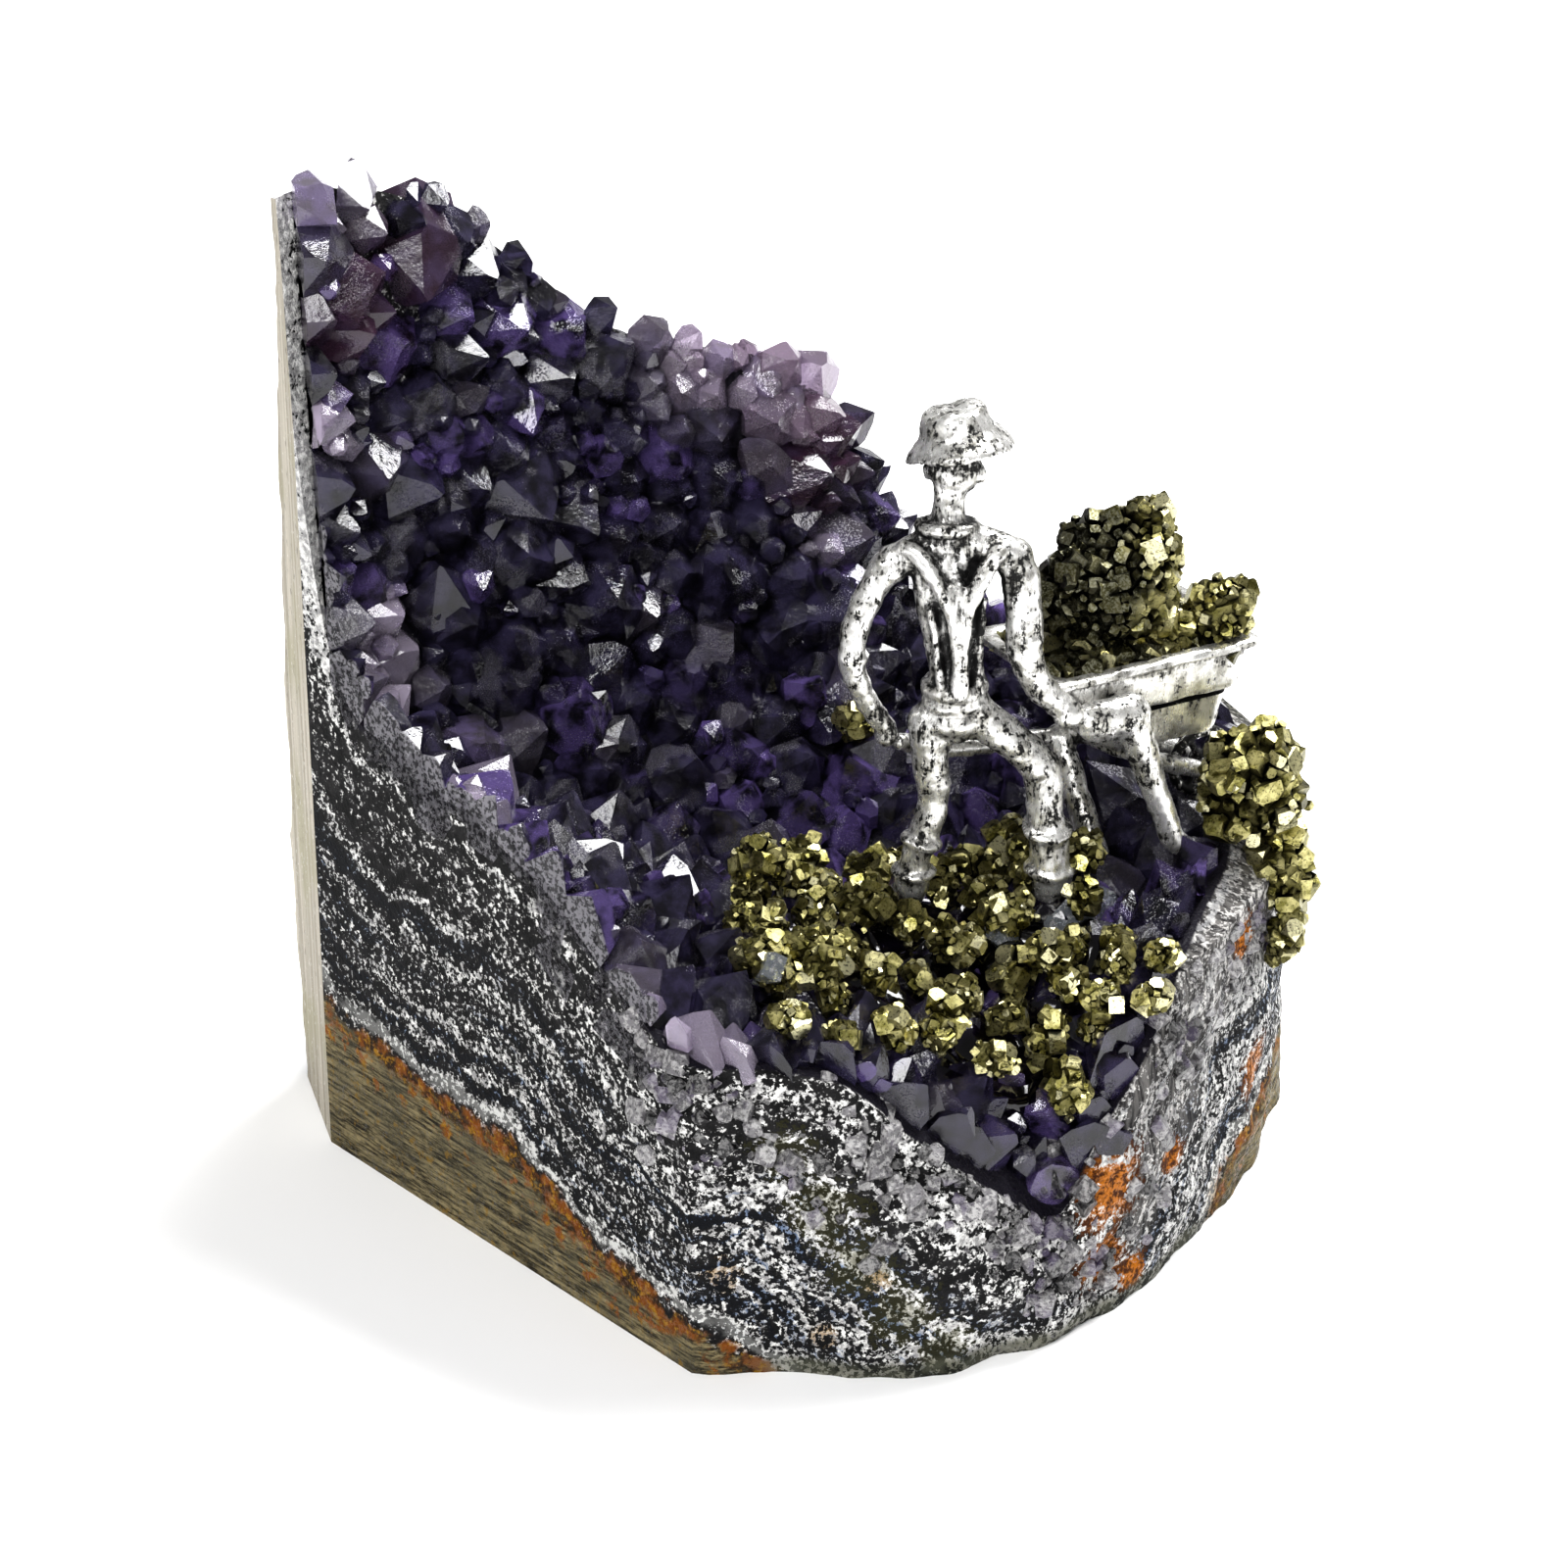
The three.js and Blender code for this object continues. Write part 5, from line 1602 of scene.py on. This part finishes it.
def smooth_rows(rows, steps=TUBE_STEPS, closed=False):
    """A smooth curve through rows of x, y, z and radius."""
    rows = np.array(rows, float)
    count = len(rows)
    ahead = lambda k: rows[k % count] if closed else rows[min(max(k, 0), count - 1)]
    made = []
    for k in range(count if closed else count - 1):
        a, b, c, d = ahead(k - 1), ahead(k), ahead(k + 1), ahead(k + 2)
        for t in np.arange(steps) / steps:
            made.append(0.5 * (2 * b + (c - a) * t + (2 * a - 5 * b + 4 * c - d) * t**2
                               + (3 * b - a - 3 * c + d) * t**3))
    if not closed:
        made.append(rows[-1])
    return np.array(made)


def tube(rows, widths=(1, 1, 1), closed=False, steps=TUBE_STEPS):
    """Points and faces of a round tube with round ends. widths squash it across the world's axes."""
    line = smooth_rows(rows, steps, closed)
    path, radii = line[:, :3], line[:, 3].copy()
    if closed:
        way = np.roll(path, -1, 0) - np.roll(path, 1, 0)
    else:
        way = np.gradient(path, axis=0)
        first, last = way[0] / np.linalg.norm(way[0]), way[-1] / np.linalg.norm(way[-1])
        bend = np.radians([85, 60, 30])
        heads = [path[0] - first * radii[0] * math.sin(b) for b in bend]
        tails = [path[-1] + last * radii[-1] * math.sin(b) for b in bend[::-1]]
        radii = np.concatenate([radii[0] * np.cos(bend), radii, radii[-1] * np.cos(bend[::-1])])
        way = np.vstack([[first] * 3, way, [last] * 3])
        path = np.vstack([heads, path, tails])
    way = way / np.linalg.norm(way, axis=1, keepdims=True)
    side = np.cross(way[0], [0.36, 0.48, 0.8])
    rings = []
    for centre, radius, along in zip(path, radii, way):
        side = side - along * (side @ along)
        side = side / np.linalg.norm(side)
        turns = np.arange(TUBE_SIDES) / TUBE_SIDES * math.tau
        across = np.outer(np.cos(turns), side) + np.outer(np.sin(turns), np.cross(along, side))
        rings.append(centre + across * radius * np.array(widths))
    return loft(np.array(rings), closed)


def ring_tube(centre, radius_x, radius_y, thick, tilt_x=0.0, tilt_y=0.0, count=20):
    """A closed ring round a limb, as a belt or a cuff."""
    turns = np.arange(count) / count * math.tau
    places = [Vector((radius_x * math.cos(t), radius_y * math.sin(t), 0)) for t in turns]
    turn = Matrix.Rotation(math.radians(tilt_x), 3, "X") @ Matrix.Rotation(math.radians(tilt_y), 3, "Y")
    return tube([(*(Vector(centre) + turn @ p), thick) for p in places], closed=True, steps=2)


# %% Melt tubes into one casting
def cast(name, parts, voxel, dents, seed, place, finish="pewter", smooth_rounds=4):
    """One skin round all the parts, with hand-worked dents."""
    points, faces = [], []
    for part_points, part_faces in parts:
        shift = sum(len(p) for p in points)
        points.append(part_points)
        faces += shifted(part_faces, shift)
    rough_piece = mesh_piece(name + "_rough", np.vstack(points), faces, [])
    rough_piece.data.transform(place)
    remesh = rough_piece.modifiers.new("melt", "REMESH")
    remesh.mode = "VOXEL"
    remesh.voxel_size = voxel * MM
    soften = rough_piece.modifiers.new("soften", "SMOOTH")
    soften.iterations = smooth_rounds
    soften.factor = 0.5
    melted = rough_piece.evaluated_get(bpy.context.evaluated_depsgraph_get())
    mesh = bpy.data.meshes.new_from_object(melted)
    bpy.data.objects.remove(rough_piece)
    shift = Vector((seed, seed * 0.7, 0))
    spots = [vert.co / MM for vert in mesh.vertices]
    normals = np.array([vert.normal for vert in mesh.vertices])
    broad = np.array([noise.noise(s * 0.55 + shift) for s in spots])
    fine = np.array([noise.noise(s * 1.3 + shift) for s in spots])
    moved = (np.array(spots) + normals * ((broad * 0.6 + fine * 0.4) * dents)[:, None]) * MM
    mesh.vertices.foreach_set("co", moved.ravel())
    mesh.polygons.foreach_set("use_smooth", [True] * len(mesh.polygons))
    piece = bpy.data.objects.new(name, mesh)
    bpy.context.scene.collection.objects.link(piece)
    mesh.materials.append(MATERIALS[finish])
    return piece


def look_pewter(start, painted_shade):
    place = place_mm(start)
    near_air = hollows(place, 1.2)
    wide_air = hollows(place, 4.5)
    flecks = grain(place, 0.5, 5.0, 0.75)
    patches = grain(place, 2.2, 4.0, 0.65)
    long_marks = grain(stretched(place, 0, (0.5, 0.5, 3.5)), 1.0, 4.0, 0.7)
    # A finish's painted shade, or painted light when below zero, takes from how much is rubbed bright.
    rubbed = near_air * 1.2 + wide_air * 0.7 - painted_shade
    rubbed = rubbed + (patches - 0.5) * 1.6 + (flecks - 0.5) * 1.8 + (long_marks - 0.5) * 1.7
    bright = rubbed.step(1.66, 1.78)
    silver = mix(patches.step(0.35, 0.6), rgb("a9a7a0"), rgb("f2f1ee"))
    colour = mix(bright, rgb("060505"), silver)
    rough = 0.6 - bright * (0.4 - 0.15 * long_marks)
    height = bright * 0.6 + flecks * 0.4 + long_marks * 0.3
    metal = 0.3 + 0.5 * bright
    return {"Base Color": colour, "Roughness": rough, "Metallic": metal, "Bump": (height, 0.1, 0.9)}


# how much blacker each finish is than the miner's: on the wheel this is painted shade, as it stands in shade
# under the tray, and on the tray, below zero, it is painted light
PEWTER_FINISHES = {"pewter": 0.0, "lit tray pewter": -0.14, "shaded pewter": 0.3}
for finish, painted_shade in PEWTER_FINISHES.items():
    finish_material(finish, lambda start, much=painted_shade: look_pewter(start, much))

# %% [markdown]
# The miner
#
# He leans on his handles with his back to the viewer: bucket hat, long neck, a shirt under braces that run
# together down the back, a belt, baggy trousers and boots. The chains below give each limb its bends. His
# face looks away over the barrow. It is a calm, plain face on the proportions of any drawing book: the eyes
# at half the height of the head, the nose half of the way from there to the chin, the mouth under it.

# %% Limbs and dress
FIGURE_PLACE = Matrix.Translation(Vector((1.1, -6.4, 0)) * MM)
LIMBS = [
    [(4.4, -8, 57.2, 2.3), (4.5, -8.2, 52.6, 1.95), (4.9, -8.4, 48.4, 1.6), (3.9, -8.5, 44.6, 1.65),
     (2.9, -8.4, 41.5, 1.6), (2.8, -7.8, 38.4, 1.8), (3.2, -5.9, 36.3, 1.7)],
    [(9.0, -9.2, 57.8, 2.3), (12.8, -9.7, 54.6, 1.95), (16.0, -9.8, 51.0, 2.1), (16.3, -10.8, 46.2, 1.95),
     (16.6, -11.4, 42.6, 2.15), (16.9, -11.6, 38.6, 2.2), (17.5, -9.9, 36.3, 1.8)],
    [(1.4, -5.6, 74.4, 1.8), (-0.9, -5.6, 72.2, 1.6), (-3.2, -6.2, 67.4, 1.45), (-3.5, -6.6, 63.6, 1.4),
     (-1.7, -6.3, 59.2, 1.2), (0.5, -6, 55.8, 1.1)],
    [(11.8, -8.2, 75.6, 1.9), (13.4, -8.6, 73.4, 2.0), (13.9, -9.4, 68.4, 1.95), (13.9, -9.8, 64.8, 1.85),
     (15.6, -10.1, 60.6, 1.6), (18.4, -10.2, 57.8, 1.4)],
    [(1.0, -5.6, 74.6, 1.7), (4.0, -5.9, 75.6, 1.9), (7.0, -6.5, 76.0, 2.1), (10.0, -7.4, 76.0, 1.9),
     (12.2, -8.1, 75.4, 1.8)],
]
TORSO = [(6.9, -8.8, 57.8, 3.0), (6.9, -8.4, 61.0, 2.4), (6.9, -8.0, 64.4, 2.5), (6.7, -7.0, 69.4, 3.1),
         (6.6, -6.3, 73.4, 3.4)]
NECK = [(6.6, -6.2, 76, 2.3), (6.7, -5.9, 78.6, 1.8), (6.9, -5.5, 81.4, 1.7), (7.4, -5.0, 83.4, 2.0)]
BRACES = [
    [(1.9, -6.7, 76.4, 0.9), (3.0, -8.1, 75.8, 0.95), (4.9, -9.7, 72.6, 0.9), (6.1, -10.3, 69.0, 0.8),
     (6.4, -10.8, 65.0, 0.7), (6.5, -11.2, 61.2, 0.8)],
    [(11.6, -9.3, 76.2, 0.9), (10.2, -9.9, 75.4, 0.95), (8.5, -10.2, 72.4, 0.9), (7.3, -10.4, 69.0, 0.8),
     (6.9, -10.8, 65.0, 0.7), (6.8, -11.2, 61.2, 0.8)],
    [(4.0, -9.2, 70.0, 0.5), (4.5, -9.6, 66.0, 0.5), (4.9, -10.2, 62.0, 0.6)],
    [(9.6, -9.2, 70.6, 0.5), (9.1, -9.7, 66.0, 0.5), (8.8, -10.3, 62.0, 0.6)],
]
BANDS = [
    ((6.9, -8.5, 61.2), 2.95, 2.4, 0.7, 6, 0),
    ((6.9, -8.5, 59.8), 3.1, 2.5, 0.5, 6, 0),
    ((6.6, -6.1, 78.0), 2.75, 2.35, 0.7, -6, 4),
    ((3.6, -8.45, 43.6), 1.9, 1.9, 0.45, 0, 14),
    ((2.8, -8.2, 40.0), 2.0, 2.0, 0.45, 0, 4),
    ((16.45, -11.1, 44.6), 2.3, 2.3, 0.45, 10, 0),
    ((16.75, -11.5, 40.2), 2.45, 2.45, 0.45, 4, 0),
]
FOLDS = [
    ((4.5, -8.2, 55.4), (2.3, 2.2, 2.2)), ((9.2, -9.0, 57.0), (2.6, 2.5, 1.9)),
    ((4.9, -8.4, 50.2), (1.9, 1.8, 1.0)),
    ((15.7, -10.0, 51.4), (2.2, 2.1, 1.5)), ((16.3, -10.9, 47.2), (1.9, 1.8, 1.1)),
    ((0.6, -5.6, 73.9), (2.1, 2.0, 1.9)),
    ((12.8, -8.3, 74.8), (2.2, 2.1, 2.0)), ((13.9, -9.8, 66.2), (2.05, 2.0, 1.1)),
    ((-3.3, -6.5, 64.8), (1.6, 1.6, 0.9)),
    ((6.8, -9.4, 57.6), (3.2, 2.3, 1.7)), ((0.4, -5.9, 55.2), (1.3, 1.5, 1.4)),
    ((18.7, -10.3, 57.2), (1.8, 1.5, 1.6)),
    ((2.9, -5.6, 36.0), (1.8, 2.2, 1.3)), ((17.4, -9.7, 36.2), (1.9, 2.2, 1.4)),
    ((6.6, -9.6, 71.8), (1.0, 0.8, 1.5)),
]

# %% Head, plain face and hat
HEAD_PLACE = Vector((7.6, -4.9, 83.7))
HEAD_TURN = Matrix.Rotation(math.radians(-24), 3, "Z")
FACE = [
    ((0, 0, 0.3), (2.7, 2.9, 3.3)), ((0, 1.2, -1.5), (2.0, 1.8, 1.8)), ((0, 3.05, -0.75), (0.45, 0.6, 0.8)),
    ((-0.95, 2.6, 0.55), (0.8, 0.4, 0.26)), ((0.95, 2.6, 0.55), (0.8, 0.4, 0.26)),
    ((0, 2.8, -1.85), (0.85, 0.36, 0.2)), ((0, 2.75, -2.25), (0.75, 0.36, 0.22)),
    ((0, 2.4, -3.0), (0.85, 0.6, 0.5)),
    ((-2.8, -0.1, -0.4), (0.5, 0.75, 1.1)), ((2.8, -0.1, -0.4), (0.5, 0.75, 1.1)),
    ((-1.6, 2.0, -0.9), (0.8, 0.6, 0.75)), ((1.6, 2.0, -0.9), (0.8, 0.6, 0.75)),
]
HAT_PLACE = Vector((7.8, -5.2, 87.1))
HAT_TURN = Matrix.Rotation(math.radians(-8), 3, "X") @ Matrix.Rotation(math.radians(-10), 3, "Y")
HAT_PROFILE = [(0.1, 0.2), (2.9, 0.1), (3.9, -0.4), (5.3, -1.5), (5.6, -1.35), (5.4, -0.7), (4.5, 0.2),
               (3.8, 0.9),
               (3.6, 1.6), (3.4, 2.6), (2.9, 3.2), (1.5, 3.3), (0.1, 3.0)]


def head_part(row):
    centre, radii = row
    points, faces = ball(centre, radii)
    turn = np.array(HEAD_TURN)
    return points @ turn.T + np.array(HEAD_PLACE), faces


def hat():
    turns = np.arange(40) / 40 * math.tau
    rings = []
    for radius, height in HAT_PROFILE:
        brim = max(radius - 3.2, 0) / 2
        ring = []
        for turn in turns:
            r = radius * (1 + 0.05 * math.sin(3 * turn + 0.6) * brim)
            droop = brim * (0.55 * math.sin(2 * turn - 0.5) - 0.2 * math.cos(3 * turn))
            dent = 0.15 * math.sin(3 * turn + 1) * (height > 2.5)
            spot = Vector((r * math.cos(turn), r * math.sin(turn), height + droop + dent))
            ring.append(HAT_TURN @ spot + HAT_PLACE)
        rings.append(ring)
    return loft(np.array(rings))


parts = [tube(rows) for rows in LIMBS + BRACES]
parts += [tube(TORSO, widths=(1.12, 0.8, 1)), tube(NECK), hat()]
parts += [ring_tube(*band) for band in BANDS]
parts += [ball(*fold) for fold in FOLDS]
parts += [head_part(row) for row in FACE]
miner = cast("miner_cast", parts, 0.3, 0.28, 3.1, FIGURE_PLACE)
dress(miner, "pewter", "miner")

# %% [markdown]
# The wheelbarrow
#
# The barrow has a tray with a stepped side, two bent handles that also carry its legs, and one wheel. The
# tray is a loft of rounded rectangles, from its foot up over the rim and down inside, because its edges are
# straighter than anything a voxel skin keeps. Handles and legs are melted tubes like the miner's limbs.

# %% Handles, legs and wheel
AXLE = (25.0, 7.5, 43.0)
HANDLES = [
    [(4.9, -0.9, 56.4, 1.5), (7.6, -0.9, 56.0, 2.0), (10.2, -0.7, 55.0, 2.2), (12.8, 1.2, 51.2, 1.4),
     (15, 3.4, 47.4, 1.1),
     (25, 4.3, 43, 1)],
    [(10.0, -0.8, 55.4, 2.1), (11.4, -1.2, 51.8, 1.8), (12.8, -1.6, 47.4, 1.55), (14.2, -2.0, 43.4, 1.35),
     (15.2, -2.3, 40.6, 1.35), (16.0, -2.5, 39.6, 1.3)],
    [(-12, 8.4, 53.6, 1), (-4, 11.6, 49.4, 1), (12, 11.4, 47.4, 1), (25, 10.7, 43, 1)],
    [(9.4, 11.4, 47.8, 1.5), (9.8, 8.2, 42.0, 1.5), (10.4, 5, 36.2, 1.4)],
    [(15, 3.4, 47.4, 0.9), (12, 11.4, 47.4, 0.9)],
    [(25, 4.3, 43, 0.9), (25, 10.7, 43, 0.9)],
]
parts = [tube(rows) for rows in HANDLES]
parts += [ball((7.4, -1.0, 55.6), (3.8, 1.7, 2.5)), ball((10.0, -0.9, 55.2), (2.7, 1.8, 2.9))]
barrow_frame = cast("barrow_frame_cast", parts, 0.28, 0.22, 5.3, BARROW_PLACE)
dress(barrow_frame, "pewter", "barrow_frame")

WHEEL_RADIUS = 3.5
WHEEL_TURNS = np.arange(28) / 28 * math.tau
SPOKES = 6


def on_wheel(turn, thick):
    """A place on the wheel's rim, with a radius for the tube."""
    return (AXLE[0] + WHEEL_RADIUS * math.cos(turn), AXLE[1], AXLE[2] + WHEEL_RADIUS * math.sin(turn), thick)


parts = [tube([on_wheel(turn, 0.62) for turn in WHEEL_TURNS], closed=True, steps=1)]
parts += [tube([(*AXLE, 0.4), on_wheel(spoke * math.tau / SPOKES, 0.4)]) for spoke in range(SPOKES)]
parts.append(tube([(AXLE[0], AXLE[1] - 0.7, AXLE[2], 1.0), (AXLE[0], AXLE[1] + 0.7, AXLE[2], 1.0)]))
# The wheel takes the darker copy of the pewter: painted shade under the tray.
wheel = cast("barrow_wheel_cast", parts, 0.22, 0.1, 1.3, BARROW_PLACE, "shaded pewter", 2)
dress(wheel, "pewter", "barrow_wheel")

# %% The stepped tray
TRAY = {"rear": 1.6, "front": 26.0, "width": 15.0, "rim": 60.6, "wall": 0.9}
TRAY_ROWS = [(49.4, 9.1, 2.9, 2.6), (49.5, 8.8, 2.5, 2.3), (50.0, 8.5, 2.3, 2.1), (52.0, 7.4, 1.9, 1.9),
             (53.8, 6.4, 1.5, 1.7), (54.1, 6.6, 2.0, 2.3), (54.6, 6.6, 2.0, 2.3), (54.8, 4.9, 0.9, 0.9),
             (55.0, 4.5, 0.7, 0.7), (55.6, 4.1, 0.6, 0.6), (57.4, 2.5, 0.3, 0.35), (59.4, 0.5, 0.1, 0.1),
             (59.6, -0.6, -0.6, -0.6), (59.9, -0.8, -0.8, -0.8), (60.4, -0.7, -0.7, -0.7),
             (60.6, -0.4, -0.4, -0.4),
             (60.6, 0.6, 0.6, 0.6), (60.3, 0.9, 0.9, 0.9), (57.0, 3.6, 1.4, 1.4), (54.0, 7.0, 2.8, 3.0),
             (50.6, 9.4, 3.4, 3.2)]
TRAY_CORNER = 1.6
TRAY_STEPS = 12
TRAY_EDGE = 0.8


def tray_ring(height, rear, front, side):
    """A rounded rectangle with equal numbers of points on every ring."""
    low = (TRAY["rear"] + rear + TRAY_CORNER, side + TRAY_CORNER)
    high = (TRAY["front"] - front - TRAY_CORNER, TRAY["width"] - side - TRAY_CORNER)
    middles = [(high[0], low[1]), high, (low[0], high[1]), low]

    def on_corner(middle, degrees):
        x = middle[0] + TRAY_CORNER * math.cos(math.radians(degrees))
        y = middle[1] + TRAY_CORNER * math.sin(math.radians(degrees))
        return np.array([x, y, height])

    ring = []
    for corner, middle in enumerate(middles):
        ring += [on_corner(middle, -90 + 90 * corner + 18 * step) for step in range(6)]
        end = on_corner(middle, 90 * corner)
        begin = on_corner(middles[(corner + 1) % 4], 90 * corner)
        ring += [end + (begin - end) * k / TRAY_STEPS for k in range(1, TRAY_STEPS)]
    return ring


def barrow_tray():
    points, faces = loft(np.array([tray_ring(*row) for row in TRAY_ROWS]))
    # The tray takes a lighter copy of the pewter: painted light.
    piece = mesh_piece("barrow_tray_cast", points, faces, ["lit tray pewter"])
    piece.data.transform(BARROW_PLACE)
    bm = bmesh.new()
    bm.from_mesh(piece.data)
    bmesh.ops.triangulate(bm, faces=[f for f in bm.faces if len(f.verts) > 4])
    long_edges = [e for e in bm.edges if e.calc_length() > TRAY_EDGE * MM]
    bmesh.ops.subdivide_edges(bm, edges=long_edges, cuts=1, use_grid_fill=True)
    bm.normal_update()
    for vert in bm.verts:
        spot = vert.co / MM
        vert.co += vert.normal * (noise.noise(spot * 0.5) * 0.12 + noise.noise(spot * 1.6) * 0.06) * MM
    for face in bm.faces:
        face.smooth = True
    bm.to_mesh(piece.data)
    bm.free()
    piece.data.set_sharp_from_angle(angle=math.radians(38))
    dress(piece, "pewter", "barrow_tray")


barrow_tray()
